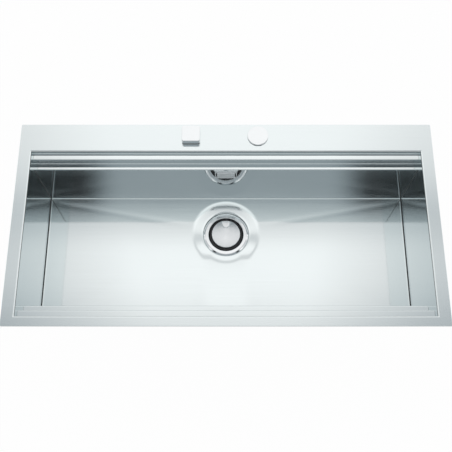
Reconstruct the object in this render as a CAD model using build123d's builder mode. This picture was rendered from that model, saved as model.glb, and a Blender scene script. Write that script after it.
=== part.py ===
"""Inset stainless steel sink with ledges front and back, a pop-up basket waste and its turn control.

Millimetres. X runs along the sink, Y from front to back, Z up.
The origin is the centre of the rim, at the level of the worktop that it rests on.
"""

import os
from math import asin, cos, sin

from build123d import *

os.makedirs("parts", exist_ok=True)

# Rim, deck and sheet
SHEET = 1.2
BEND = 0.8  # inside radius of the tight bends
RIM_WIDTH = 1000
RIM_DEPTH = 500
RIM_HEIGHT = 4  # top of the rim above the worktop
RIM_CORNER = 3
RIM_ROUND = 1  # rounding of the rim's outer edge
RIM_BEND = 1.8  # inside radius where the rim turns down into the bowl
RIM_SKIRT = 2  # straight edge below that bend, where the walls are welded on
END_RIM = 30
FRONT_RIM = 23
BACK_DECK = 73
SEAL_WIDTH = 9.8

# Bowl
BOWL_DEPTH = 220  # from the rim's top to the floor's edge
LEDGE_WIDTH = 16
UPPER_LEDGE_DEPTH = 13
LOWER_LEDGE_DEPTH = 36
FLOOR_FOLD = 8  # radius between the walls and the floor
PAN_EDGE = 5  # straight edge above that fold
FLOOR_MARGIN = 14  # level border of the floor along the walls
FLOOR_FALL = 4  # how far the four floor planes fall towards the drain
FLAT_WIDTH = 190  # flat patch where the four planes end
FLAT_AHEAD = 50  # its front edge, ahead of the drain
FLAT_BEHIND = 22  # its back edge, behind the drain
DISH_RADIUS = 86
DISH_FLAT_RADIUS = 78
DISH_DEPTH = 3  # below the flat patch
CHANNEL_WIDTH = 131
DRAIN_FROM_BACK = 101  # drain centre from the back wall's face

# Sound pads, clip rails and clips
PAD_THICKNESS = 3
PAD_LENGTH = 220
PAD_HEIGHT = 120
RAIL_WIDTH = 8
RAIL_HEIGHT = 8
RAIL_SHEET = 1
RAIL_SLOT = 4
RAIL_GAP = 0.3  # between a rail and the seal
FRONT_RAIL_LENGTH = 860
BACK_RAIL_LENGTH = 300
BACK_RAIL_OFFSET = 290  # centre of each back rail from the sink's middle
END_RAIL_LENGTH = 340
CLIP_WIDTH = 16
CLIP_SHEET = 1.5
CLIP_JAW = 13
CLIP_DROP = 50
CLIP_END_MARGIN = 40  # outer clips from the ends of their rail
FRONT_CLIPS = 3
RAIL_CLIPS = 2  # on each of the other rails
WORKTOP_THICKNESS = 38
CLIP_SCREW_RADIUS = 2.5
CLIP_SCREW_HEAD_RADIUS = 5
CLIP_SCREW_HEAD_HEIGHT = 4

# Waste flange and body, with heights measured from the dish
FLANGE_RADIUS = 58.5
FLANGE_SHEET = 1.2
FLANGE_EDGE = 1.6
FLANGE_CROWN = 3.4
FLANGE_BEVEL = 4
FLANGE_ROUND = 3
THROAT_RADIUS = 44.3
THROAT_LEAD = 2
THROAT_DEPTH = 0.6
CUP_RADIUS = 40
SEAT_DEPTH = 7
CUP_DEPTH = 34
OUTLET_RADIUS = 20
DRAIN_HOLE_GAP = 1
BODY_GASKET = 2
BODY_WALL = 4
BODY_RIM_RADIUS = 57
BODY_RIM = 5
THREAD_GAP = 0.2
COLLAR_TOP = 11
COLLAR_END = 33
BODY_STRAIGHT = 75
BODY_CONE_END = 96
TAIL_END = 136
TAIL_RADIUS = 23.9  # outside of a G 1 1/2 thread
TAIL_BORE_RADIUS = 20

# Strainer, and the pin and lever that lift it
CAP_RADIUS = 37.4
CAP_UNDERSIDE = 3
CAP_EDGE = 4
CAP_DOME = 1.2
CAP_ROUND = 1.2
NOTCH_WIDTH = 23
NOTCH_LENGTH = 19.5
NOTCH_DEPTH = 2
SEAT_GAP = 0.3
BASKET_RIM_GAP = 0.8
BASKET_RIM_TOP = 0.2
BASKET_WALL = 1.6
BASKET_TOP_RADIUS = 38
BASKET_BOTTOM_RADIUS = 34
BASKET_DEPTH = 26
BASKET_SLOTS = 16
BASKET_SLOT_WIDTH = 4
BASKET_SLOT_TOP = 9
HUB_HEIGHT = 14
STEM_RADIUS = 3
STEM_SHOULDER_RADIUS = 6
STEM_NUT_RADIUS = 7
STEM_NUT = 3.3
PLUG_RADIUS = 25
LIFT = 9
PIN_RADIUS = 3
PIN_HEAD_RADIUS = 5.5
PIN_HEAD = 2
PIN_LENGTH = 25
GUIDE_RADIUS = 7
GUIDE_HEIGHT = 8
GUIDE_RIB = 3
GUIDE_RIBS = 3
GUIDE_TURN = 60  # degrees, keeps the ribs clear of the lever
RUNNING_GAP = 0.05
LEVER_ARM = 54
LEVER_TAIL = 16
LEVER_WIDTH = 6
LEVER_HEIGHT = 6
LEVER_TIP_RADIUS = 4
LEVER_HUB_RADIUS = 6
AXLE_RADIUS = 2.5
HOUSING_LENGTH = 32
HOUSING_WIDTH = 24
HOUSING_HEIGHT = 30
HOUSING_WALL = 4
HOUSING_FLANGE = 4
HOUSING_LIP = 7
COVER_GASKET = 1.5
COVER_PLATE = 3
COVER_SCREW_RADIUS = 1.5
COVER_SCREW_HEAD_RADIUS = 3
COVER_SCREW_HEAD = 2
COVER_SCREW_LENGTH = 8
GLAND_RADIUS = 4.5
GLAND_BORE_RADIUS = 1.5
GLAND_FLANGE_RADIUS = 7
GLAND_FLANGE = 3
GLAND_LENGTH = 20
GLAND_SPIGOT_RADIUS = 3

# Overflow
OVERFLOW_DROP = 65  # centre of the plate below the rim's top
OVERFLOW_HEIGHT = 38
OVERFLOW_CORNER = 4
OVERFLOW_PLATE = 1.5
OVERFLOW_PANEL_WIDTH = 43
OVERFLOW_PANEL_HEIGHT = 27
OVERFLOW_PANEL = 1.5
SLIT_WIDTH = 2.6
SLIT_HEIGHT = 21
SLIT_PANEL_GAP = 0.7  # between a slit and the raised panel
SLIT_EDGE = 2.2  # between a slit and the plate's edge
SLIT_HOLE_GAP = 0.2  # wall's hole beyond the slits
OVERFLOW_HOLE_HEIGHT = 25
OVERFLOW_STUD_RADIUS = 4
OVERFLOW_GASKET = 1.5
OVERFLOW_BODY_MARGIN = 7  # body beyond the wall's hole at each end
OVERFLOW_BODY_HEIGHT = 40
OVERFLOW_BODY_DEPTH = 24
OVERFLOW_BODY_WALL = 3
OVERFLOW_NUT_RADIUS = 8
OVERFLOW_NUT = 6
PIPE_RADIUS = 10
PIPE_WALL = 1.5
PIPE_BEND = 25
PIPE_GAP = 0.2
PIPE_WALL_GAP = 1.5  # between the pipe's nut and the back wall
SPIGOT_WALL = 2
SPIGOT_LENGTH = 16
SPIGOT_REST = 3  # bare length between a spigot's root and the pipe's end
PIPE_NUT_RADIUS = 14
PIPE_NUT_LENGTH = 14
PIPE_NUT_SIDES = 8
INLET_DEPTH = 50  # overflow inlet's axis below the dish

# Turn control
CONTROL_X = -85
CONTROL_FROM_REAR = 32
KNOB_WIDTH = 44
KNOB_DEPTH = 42
KNOB_HEIGHT = 14
KNOB_CORNER = 5
KNOB_ROUND = 1.5
KNOB_GAP = 0.5
KNOB_SOCKET = 9
DECK_HOLE_RADIUS = 17.5
BUSH_FLANGE_RADIUS = 19
BUSH_FLANGE = 1.5
BUSH_GAP = 0.3
BUSH_LENGTH = 18  # below the deck's top
WASHER = 2
WASHER_RADIUS = 21
BACKNUT = 8
BACKNUT_RADIUS = 21
SPINDLE_RADIUS = 5
DRUM_RADIUS = 15
DRUM_HEIGHT = 14
DRUM_GROOVE = 2
DRUM_GAP = 1
CONTROL_WALL = 2
CONTROL_RADIUS = 20

# Cap over the spare tap hole
CAP_X = 77.5
TAP_CAP_RADIUS = 25.5
TAP_CAP = 3
TAP_CAP_ROUND = 1.2
CAP_GASKET = 1
CAP_GASKET_RADIUS = 24
STUD_RADIUS = 4
STUD_LENGTH = 42
STUD_GAP = 0.2
BRIDGE_LENGTH = 52
BRIDGE_WIDTH = 16
BRIDGE = 3
WING_HUB_RADIUS = 7
WING_HUB = 8
WING_SPAN = 36
WING = 3

NUT_SIDES = 6  # sides of the nuts and screw heads
TOLERANCE = 0.01  # for picking edges by their place

# Levels and lines that follow from these sizes
DECK_UNDER = RIM_HEIGHT - SHEET
BOWL_WIDTH = RIM_WIDTH - 2 * END_RIM
BOWL_END = BOWL_WIDTH / 2
BACK_TOP = RIM_DEPTH / 2 - BACK_DECK
FRONT_TOP = FRONT_RIM - RIM_DEPTH / 2
BACK_WALL = BACK_TOP - 2 * LEDGE_WIDTH
FRONT_WALL = FRONT_TOP + 2 * LEDGE_WIDTH
OPENING_LENGTH = BACK_TOP - FRONT_TOP
OPENING_Y = (BACK_TOP + FRONT_TOP) / 2
BOWL_LENGTH = BACK_WALL - FRONT_WALL
BOWL_Y = (BACK_WALL + FRONT_WALL) / 2
SKIRT_Z = RIM_HEIGHT - SHEET - RIM_BEND - RIM_SKIRT
UPPER_LEDGE_Z = RIM_HEIGHT - UPPER_LEDGE_DEPTH
LOWER_LEDGE_Z = RIM_HEIGHT - LOWER_LEDGE_DEPTH
FLOOR_Z = RIM_HEIGHT - BOWL_DEPTH
PAN_TOP = FLOOR_Z + FLOOR_FOLD + PAN_EDGE
FLAT_Z = FLOOR_Z - FLOOR_FALL
DISH_Z = FLAT_Z - DISH_DEPTH
DRAIN_Y = BACK_WALL - DRAIN_FROM_BACK
DRAIN_HOLE_RADIUS = THROAT_RADIUS + FLANGE_SHEET + DRAIN_HOLE_GAP
CONTROL_Y = RIM_DEPTH / 2 - CONTROL_FROM_REAR

# Sketch planes with the height upwards, through the drain and through the control
DRAIN_PLANE = Plane(origin=(0, DRAIN_Y, DISH_Z), x_dir=(1, 0, 0), z_dir=(0, -1, 0))
CONTROL_PLANE = Plane(origin=(CONTROL_X, CONTROL_Y, 0), x_dir=(1, 0, 0), z_dir=(0, -1, 0))
DRAIN_AXIS = Axis((0, DRAIN_Y, 0), (0, 0, 1))
CONTROL_AXIS = Axis((CONTROL_X, CONTROL_Y, 0), (0, 0, 1))


def save(builder, label):
    """Name a finished piece and write it."""
    builder.part.label = label
    export_step(builder.part, f"parts/{label}.step")


def drain_level(depth):
    """Level plane through the drain's axis, depth below the dish."""
    return Plane((0, DRAIN_Y, DISH_Z - depth))


def turned(plane, axis, points):
    """Solid turned about an axis from a closed outline of (radius, height) points."""
    with BuildPart() as solid:
        with BuildSketch(plane):
            with BuildLine():
                Polyline(*points, close=True)
            make_face()
        revolve(axis=axis)
    return solid.part


def opening_edges(builder, height, grow):
    """Edges round the bowl's opening at a height, as far as grow outside its faces."""
    reach = grow + TOLERANCE
    level = builder.edges().filter_by_position(Axis.Z, height - TOLERANCE, height + TOLERANCE)
    along = level.filter_by_position(Axis.X, -BOWL_END - reach, BOWL_END + reach)
    return along.filter_by_position(Axis.Y, FRONT_TOP - reach, BACK_TOP + reach)


# Rim and rear deck: a plate with its outer edge turned down and a folded skirt round the bowl
with BuildPart() as deck_frame:
    with BuildSketch(Plane.XY.offset(DECK_UNDER)):
        RectangleRounded(RIM_WIDTH, RIM_DEPTH, RIM_CORNER)
    extrude(amount=SHEET)
    with BuildSketch():
        RectangleRounded(RIM_WIDTH, RIM_DEPTH, RIM_CORNER)
        Rectangle(RIM_WIDTH - 2 * SHEET, RIM_DEPTH - 2 * SHEET, mode=Mode.SUBTRACT)
    extrude(amount=DECK_UNDER)
    with BuildSketch(Plane.XY.offset(SKIRT_Z)):
        with Locations((0, OPENING_Y)):
            Rectangle(BOWL_WIDTH + 2 * SHEET, OPENING_LENGTH + 2 * SHEET)
    extrude(amount=DECK_UNDER - SKIRT_Z)
    with BuildSketch(Plane.XY.offset(SKIRT_Z)):
        with Locations((0, OPENING_Y)):
            Rectangle(BOWL_WIDTH, OPENING_LENGTH)
    extrude(amount=RIM_HEIGHT - SKIRT_Z, mode=Mode.SUBTRACT)
    fillet(opening_edges(deck_frame, RIM_HEIGHT, 0), RIM_BEND + SHEET)
    fillet(opening_edges(deck_frame, DECK_UNDER, SHEET), RIM_BEND)
    rim_edges = deck_frame.edges().filter_by_position(Axis.Z, RIM_HEIGHT, RIM_HEIGHT)
    fillet(rim_edges - opening_edges(deck_frame, RIM_HEIGHT, RIM_BEND + SHEET), RIM_ROUND)
    with Locations((CONTROL_X, CONTROL_Y, RIM_HEIGHT), (CAP_X, CONTROL_Y, RIM_HEIGHT)):
        Hole(DECK_HOLE_RADIUS, depth=SHEET)
save(deck_frame, "deck_frame")


def wall_line(top, inward):
    """Face line of a stepped wall as (Y, Z) points, from the rim's skirt down to the floor pan."""
    middle = top + inward * LEDGE_WIDTH
    bottom = middle + inward * LEDGE_WIDTH
    return [
        (top, SKIRT_Z),
        (top, UPPER_LEDGE_Z),
        (middle, UPPER_LEDGE_Z),
        (middle, LOWER_LEDGE_Z),
        (bottom, LOWER_LEDGE_Z),
        (bottom, PAN_TOP),
    ]


# A ledge's inner corner bends tightly, and its edge bends round the sheet's thickness
LEDGE_BENDS = [BEND, BEND + SHEET, BEND, BEND + SHEET]
OVERFLOW_Z = RIM_HEIGHT - OVERFLOW_DROP
SLIT_SPACING = OVERFLOW_PANEL_WIDTH + 2 * SLIT_PANEL_GAP + SLIT_WIDTH
OVERFLOW_WIDTH = SLIT_SPACING + SLIT_WIDTH + 2 * SLIT_EDGE
OVERFLOW_HOLE_WIDTH = SLIT_SPACING + SLIT_WIDTH + 2 * SLIT_HOLE_GAP
OVERFLOW_BODY_WIDTH = OVERFLOW_HOLE_WIDTH + 2 * OVERFLOW_BODY_MARGIN
WALL_BACK = BACK_WALL + SHEET
# Sketch plane on the back wall's face, seen from inside the bowl, and on its outside
WALL_FACE = Plane(origin=(0, BACK_WALL, OVERFLOW_Z), x_dir=(1, 0, 0), z_dir=(0, -1, 0))
WALL_OUTSIDE = Plane(origin=(0, WALL_BACK, OVERFLOW_Z), x_dir=(-1, 0, 0), z_dir=(0, 1, 0))

with BuildPart() as back_wall:
    with BuildSketch(Plane.YZ):
        with BuildLine():
            FilletPolyline(*wall_line(BACK_TOP, -1), radius=LEDGE_BENDS)
            offset(amount=SHEET, side=Side.LEFT)
        make_face()
    extrude(amount=BOWL_END + SHEET, both=True)
    with BuildSketch(WALL_FACE):
        RectangleRounded(OVERFLOW_HOLE_WIDTH, OVERFLOW_HOLE_HEIGHT, OVERFLOW_CORNER)
    extrude(amount=-SHEET, mode=Mode.SUBTRACT)
save(back_wall, "back_wall")

with BuildPart() as front_wall:
    with BuildSketch(Plane.YZ):
        with BuildLine():
            FilletPolyline(*wall_line(FRONT_TOP, 1), radius=LEDGE_BENDS)
            offset(amount=SHEET, side=Side.RIGHT)
        make_face()
    extrude(amount=BOWL_END + SHEET, both=True)
save(front_wall, "front_wall")


def end_wall(plane):
    """End wall standing on the right of an upright plane, cut to the face lines of both long walls."""
    with BuildPart() as wall:
        with BuildSketch(plane):
            with BuildLine():
                back_line = FilletPolyline(*wall_line(BACK_TOP, -1), radius=LEDGE_BENDS)
                front_line = FilletPolyline(*wall_line(FRONT_TOP, 1), radius=LEDGE_BENDS)
                Line(back_line @ 0, front_line @ 0)
                Line(back_line @ 1, front_line @ 1)
            make_face()
        extrude(amount=SHEET)
    return wall


left_end_wall = end_wall(Plane.YZ.offset(-BOWL_END - SHEET))
save(left_end_wall, "left_end_wall")

right_end_wall = end_wall(Plane.YZ.offset(BOWL_END))
save(right_end_wall, "right_end_wall")


# Each floor plane by its direction from the middle, its edge at the level border and its low edge
FLOOR_PLANES = [
    ((1, 0), BOWL_END - FLOOR_MARGIN, FLAT_WIDTH / 2),
    ((-1, 0), BOWL_END - FLOOR_MARGIN, FLAT_WIDTH / 2),
    ((0, 1), BACK_WALL - FLOOR_MARGIN, DRAIN_Y + FLAT_BEHIND),
    ((0, -1), -FRONT_WALL - FLOOR_MARGIN, FLAT_AHEAD - DRAIN_Y),
]


def floor_planes(grow):
    """Space above the four planes, from the floor's level border down to the flat patch."""
    with BuildPart() as space:
        with BuildSketch(Plane.XY.offset(FLAT_Z - grow)):
            with Locations((0, BOWL_Y)):
                Rectangle(BOWL_WIDTH - 2 * FLOOR_MARGIN, BOWL_LENGTH - 2 * FLOOR_MARGIN)
        extrude(amount=FLOOR_FALL)
        for (x, y), border, low_edge in FLOOR_PLANES:
            slope = Plane(
                origin=(x * border, y * border, FLOOR_Z - grow),
                z_dir=(-x * FLOOR_FALL, -y * FLOOR_FALL, border - low_edge),
            )
            split(bisect_by=slope, keep=Keep.TOP)
    return space.part


def pan_space(grow):
    """Space inside the floor pan, or with grow as the sheet's thickness the outside of the pan.

    Four planes fall from the walls to a flat patch, and a round dish and a channel sink below them.
    """
    edge_z = FLOOR_Z - grow
    planes = floor_planes(grow)
    with BuildPart() as space:
        with BuildSketch(Plane.XY.offset(edge_z)):
            with Locations((0, BOWL_Y)):
                Rectangle(BOWL_WIDTH + 2 * grow, BOWL_LENGTH + 2 * grow)
        extrude(amount=PAN_TOP - edge_z)
        folds = space.edges().filter_by_position(Axis.Z, edge_z - TOLERANCE, edge_z + TOLERANCE)
        fillet(folds, FLOOR_FOLD + grow)
        add(planes)
        with BuildSketch(DRAIN_PLANE):
            with BuildLine():
                Polyline(
                    (0, -grow),
                    (DISH_FLAT_RADIUS, -grow),
                    (DISH_RADIUS, FLOOR_Z - DISH_Z - grow),
                    (DISH_RADIUS, FLOOR_Z - DISH_Z + FLOOR_FOLD),
                    (0, FLOOR_Z - DISH_Z + FLOOR_FOLD),
                    close=True,
                )
            make_face()
        revolve(axis=DRAIN_AXIS)
        with BuildSketch(Plane.YZ):
            with BuildLine():
                Polyline(
                    (DRAIN_Y, DISH_Z - grow),
                    (DRAIN_Y - DISH_FLAT_RADIUS, DISH_Z - grow),
                    (FRONT_WALL + FLOOR_MARGIN, FLOOR_Z - grow),
                    (FRONT_WALL + FLOOR_MARGIN, FLOOR_Z + FLOOR_FOLD),
                    (DRAIN_Y, FLOOR_Z + FLOOR_FOLD),
                    close=True,
                )
            make_face()
        extrude(amount=CHANNEL_WIDTH / 2, both=True)
    return space.part


PAN_OUTSIDE = pan_space(SHEET)
PAN_INSIDE = pan_space(0)

with BuildPart() as floor_pan:
    add(PAN_OUTSIDE)
    add(PAN_INSIDE, mode=Mode.SUBTRACT)
    with BuildSketch(drain_level(SHEET)):
        Circle(DRAIN_HOLE_RADIUS)
    extrude(amount=SHEET, mode=Mode.SUBTRACT)
save(floor_pan, "floor_pan")

# Foam seal in the hollow under the rim, level with the turned-down edge
with BuildPart() as rim_seal:
    with BuildSketch():
        Rectangle(RIM_WIDTH - 2 * SHEET, RIM_DEPTH - 2 * SHEET)
        Rectangle(
            RIM_WIDTH - 2 * (SHEET + SEAL_WIDTH),
            RIM_DEPTH - 2 * (SHEET + SEAL_WIDTH),
            mode=Mode.SUBTRACT,
        )
    extrude(amount=DECK_UNDER)
save(rim_seal, "rim_seal")

# Damping pads: one under each long floor plane, one outside each end wall
FLOOR_RUN = BOWL_END - FLOOR_MARGIN - FLAT_WIDTH / 2
PAD_X = (FLOOR_RUN + FLAT_WIDTH) / 2
PAD_Z = FLOOR_Z - SHEET - FLOOR_FALL / 2
with BuildPart() as sound_pads:
    for side in (-1, 1):
        floor_plane = Plane(
            origin=(side * PAD_X, DRAIN_Y, PAD_Z),
            x_dir=(side * FLOOR_RUN, 0, FLOOR_FALL),
            z_dir=(side * FLOOR_FALL, 0, -FLOOR_RUN),
        )
        with BuildSketch(floor_plane):
            Rectangle(PAD_LENGTH, PAD_HEIGHT)
        extrude(amount=PAD_THICKNESS)
        end_plane = Plane(
            origin=(side * (BOWL_END + SHEET), BOWL_Y, (LOWER_LEDGE_Z + PAN_TOP) / 2),
            x_dir=(0, side, 0),
            z_dir=(side, 0, 0),
        )
        with BuildSketch(end_plane):
            Rectangle(PAD_LENGTH, PAD_HEIGHT)
        extrude(amount=PAD_THICKNESS)
save(sound_pads, "sound_pads")

# Slotted rails under the rim, each with its middle point, outward direction, length and clip count
RAIL_INSET = SHEET + SEAL_WIDTH + RAIL_GAP + RAIL_WIDTH / 2
RAIL_X = RIM_WIDTH / 2 - RAIL_INSET
RAIL_Y = RIM_DEPTH / 2 - RAIL_INSET
RAILS = [
    ((0, -RAIL_Y), (0, -1), FRONT_RAIL_LENGTH, FRONT_CLIPS),
    ((-BACK_RAIL_OFFSET, RAIL_Y), (0, 1), BACK_RAIL_LENGTH, RAIL_CLIPS),
    ((BACK_RAIL_OFFSET, RAIL_Y), (0, 1), BACK_RAIL_LENGTH, RAIL_CLIPS),
    ((-RAIL_X, OPENING_Y), (-1, 0), END_RAIL_LENGTH, RAIL_CLIPS),
    ((RAIL_X, OPENING_Y), (1, 0), END_RAIL_LENGTH, RAIL_CLIPS),
]
RAIL_UNDER = DECK_UNDER - RAIL_HEIGHT


def rail_plane(middle, outward, along):
    """Upright plane across a rail, along from its middle: x points outwards and y up."""
    run = (outward[1], -outward[0])
    origin = (middle[0] + along * run[0], middle[1] + along * run[1], 0)
    return Plane(origin=origin, x_dir=(*outward, 0), z_dir=(*run, 0))


def clip_places():
    """Upright planes of all clips, spread evenly along their rails and turned in as for delivery."""
    places = []
    for middle, (out_x, out_y), length, count in RAILS:
        spread = length - 2 * CLIP_END_MARGIN
        for index in range(count):
            along = spread * (index / (count - 1) - 0.5)
            places.append(rail_plane(middle, (-out_x, -out_y), along))
    return places


with BuildPart() as clip_rails:
    for middle, outward, length, _ in RAILS:
        with BuildSketch(rail_plane(middle, outward, 0)):
            with Locations((0, DECK_UNDER - RAIL_HEIGHT / 2)):
                Rectangle(RAIL_WIDTH, RAIL_HEIGHT)
                Rectangle(
                    RAIL_WIDTH - 2 * RAIL_SHEET,
                    RAIL_HEIGHT - 2 * RAIL_SHEET,
                    mode=Mode.SUBTRACT,
                )
            with Locations((0, RAIL_UNDER + RAIL_SHEET / 2)):
                Rectangle(RAIL_SLOT, RAIL_SHEET, mode=Mode.SUBTRACT)
        extrude(amount=length / 2, both=True)
save(clip_rails, "clip_rails")

# Clips: a strap with its head in the rail's slot, and a jaw whose screw meets a worktop from below
CLIP_HEAD_Z = RAIL_UNDER + RAIL_SHEET
CLIP_HEAD_WIDTH = RAIL_WIDTH - 2 * RAIL_SHEET - SHEET
JAW_TOP = CLIP_HEAD_Z - CLIP_DROP
SCREW_OUT = CLIP_JAW - CLIP_SCREW_HEAD_RADIUS

with BuildPart() as worktop_clips:
    for place in clip_places():
        with BuildSketch(place):
            with BuildLine():
                Polyline(
                    (-CLIP_HEAD_WIDTH / 2, CLIP_HEAD_Z),
                    (-CLIP_HEAD_WIDTH / 2, CLIP_HEAD_Z + CLIP_SHEET),
                    (CLIP_HEAD_WIDTH / 2, CLIP_HEAD_Z + CLIP_SHEET),
                    (CLIP_HEAD_WIDTH / 2, CLIP_HEAD_Z),
                    (CLIP_SHEET / 2, CLIP_HEAD_Z),
                    (CLIP_SHEET / 2, JAW_TOP),
                    (CLIP_JAW, JAW_TOP),
                    (CLIP_JAW, JAW_TOP - CLIP_SHEET),
                    (-CLIP_SHEET / 2, JAW_TOP - CLIP_SHEET),
                    (-CLIP_SHEET / 2, CLIP_HEAD_Z),
                    close=True,
                )
            make_face()
        extrude(amount=CLIP_WIDTH / 2, both=True)
        screw_point = place.from_local_coords((SCREW_OUT, JAW_TOP, 0))
        with Locations(screw_point):
            Hole(CLIP_SCREW_RADIUS + RUNNING_GAP, depth=CLIP_SHEET)
save(worktop_clips, "worktop_clips")

SCREW_HEAD_TOP = JAW_TOP - CLIP_SHEET
with BuildPart() as clip_screws:
    for place in clip_places():
        screw_point = place.from_local_coords((SCREW_OUT, SCREW_HEAD_TOP, 0))
        with BuildSketch(Plane(screw_point)):
            Circle(CLIP_SCREW_RADIUS)
        extrude(amount=-WORKTOP_THICKNESS - SCREW_HEAD_TOP)
        with BuildSketch(Plane(screw_point)):
            RegularPolygon(CLIP_SCREW_HEAD_RADIUS, NUT_SIDES)
        extrude(amount=-CLIP_SCREW_HEAD_HEIGHT)
save(clip_screws, "clip_screws")

# Waste flange: one pressed sheet with a raised rim, a sloping seat and a cup below it
with BuildPart() as waste_flange:
    with BuildSketch(DRAIN_PLANE):
        with BuildLine():
            FilletPolyline(
                (FLANGE_RADIUS, FLANGE_EDGE),
                (FLANGE_RADIUS - FLANGE_BEVEL, FLANGE_CROWN),
                (THROAT_RADIUS + THROAT_LEAD, FLANGE_CROWN),
                (THROAT_RADIUS, -THROAT_DEPTH),
                (CUP_RADIUS, -SEAT_DEPTH),
                (CUP_RADIUS, -CUP_DEPTH),
                (OUTLET_RADIUS, -CUP_DEPTH),
                radius=[FLANGE_ROUND, BEND + FLANGE_SHEET, BEND + FLANGE_SHEET, BEND, BEND],
            )
            offset(amount=FLANGE_SHEET, side=Side.LEFT)
        make_face()
    revolve(axis=DRAIN_AXIS)
save(waste_flange, "waste_flange")

with BuildPart() as flange_gasket:
    with BuildSketch(drain_level(0)):
        Circle(FLANGE_RADIUS - FLANGE_BEVEL - FLANGE_SHEET)
        Circle(DRAIN_HOLE_RADIUS + DRAIN_HOLE_GAP, mode=Mode.SUBTRACT)
    extrude(amount=FLANGE_CROWN - FLANGE_SHEET)
save(flange_gasket, "flange_gasket")

BODY_TOP = SHEET + BODY_GASKET
with BuildPart() as body_gasket:
    with BuildSketch(drain_level(BODY_TOP)):
        Circle(BODY_RIM_RADIUS)
        Circle(DRAIN_HOLE_RADIUS, mode=Mode.SUBTRACT)
    extrude(amount=BODY_GASKET)
save(body_gasket, "body_gasket")

# Levels of the lifting parts, as depths below the dish
STEM_END = CUP_DEPTH - SEAT_GAP + STEM_NUT
PIN_TOP = STEM_END + SEAT_GAP
PIN_FOOT = PIN_TOP + PIN_LENGTH
GUIDE_TOP = PIN_TOP + PIN_HEAD + SEAT_GAP
TIP_DEPTH = PIN_FOOT + SEAT_GAP + LEVER_TIP_RADIUS
AXLE_DEPTH = TIP_DEPTH - LIFT / 2
LEVER_ANGLE = asin(LIFT / 2 / LEVER_ARM)  # radians below level at rest, and above it when lifted

# Waste body: a moulded collar that screws onto the flange's cup, and a funnel with a threaded tail
CUP_OUTSIDE = CUP_RADIUS + FLANGE_SHEET
COLLAR_BORE = CUP_OUTSIDE + THREAD_GAP
BODY_BORE = COLLAR_BORE + BODY_WALL / 2
BODY_RADIUS = BODY_BORE + BODY_WALL
HOUSING_FACE = BODY_RADIUS + HOUSING_LENGTH  # lever housing's open face, left of the drain
HOUSING_BORE_WIDTH = HOUSING_WIDTH - 2 * HOUSING_WALL
HOUSING_BORE_HEIGHT = HOUSING_HEIGHT - 2 * HOUSING_WALL
FACE_WIDTH = HOUSING_WIDTH + 2 * HOUSING_LIP
FACE_HEIGHT = HOUSING_HEIGHT + 2 * HOUSING_LIP
GLAND_OUT = LEVER_ARM + LEVER_TAIL - GLAND_SPIGOT_RADIUS
SPIGOT_RADIUS = PIPE_RADIUS - PIPE_WALL - PIPE_GAP
SPIGOT_END = BODY_RADIUS + SPIGOT_REST + SPIGOT_LENGTH  # overflow inlet's end, from the drain's axis
FACE_PLANE = Plane(
    origin=(-HOUSING_FACE, DRAIN_Y, DISH_Z - AXLE_DEPTH), x_dir=(0, -1, 0), z_dir=(-1, 0, 0)
)
INLET_PLANE = Plane(
    origin=(0, DRAIN_Y, DISH_Z - INLET_DEPTH), x_dir=(-1, 0, 0), z_dir=(0, 1, 0)
)
COVER_SCREW_PITCH = (FACE_WIDTH - HOUSING_LIP, FACE_HEIGHT - HOUSING_LIP)

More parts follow.
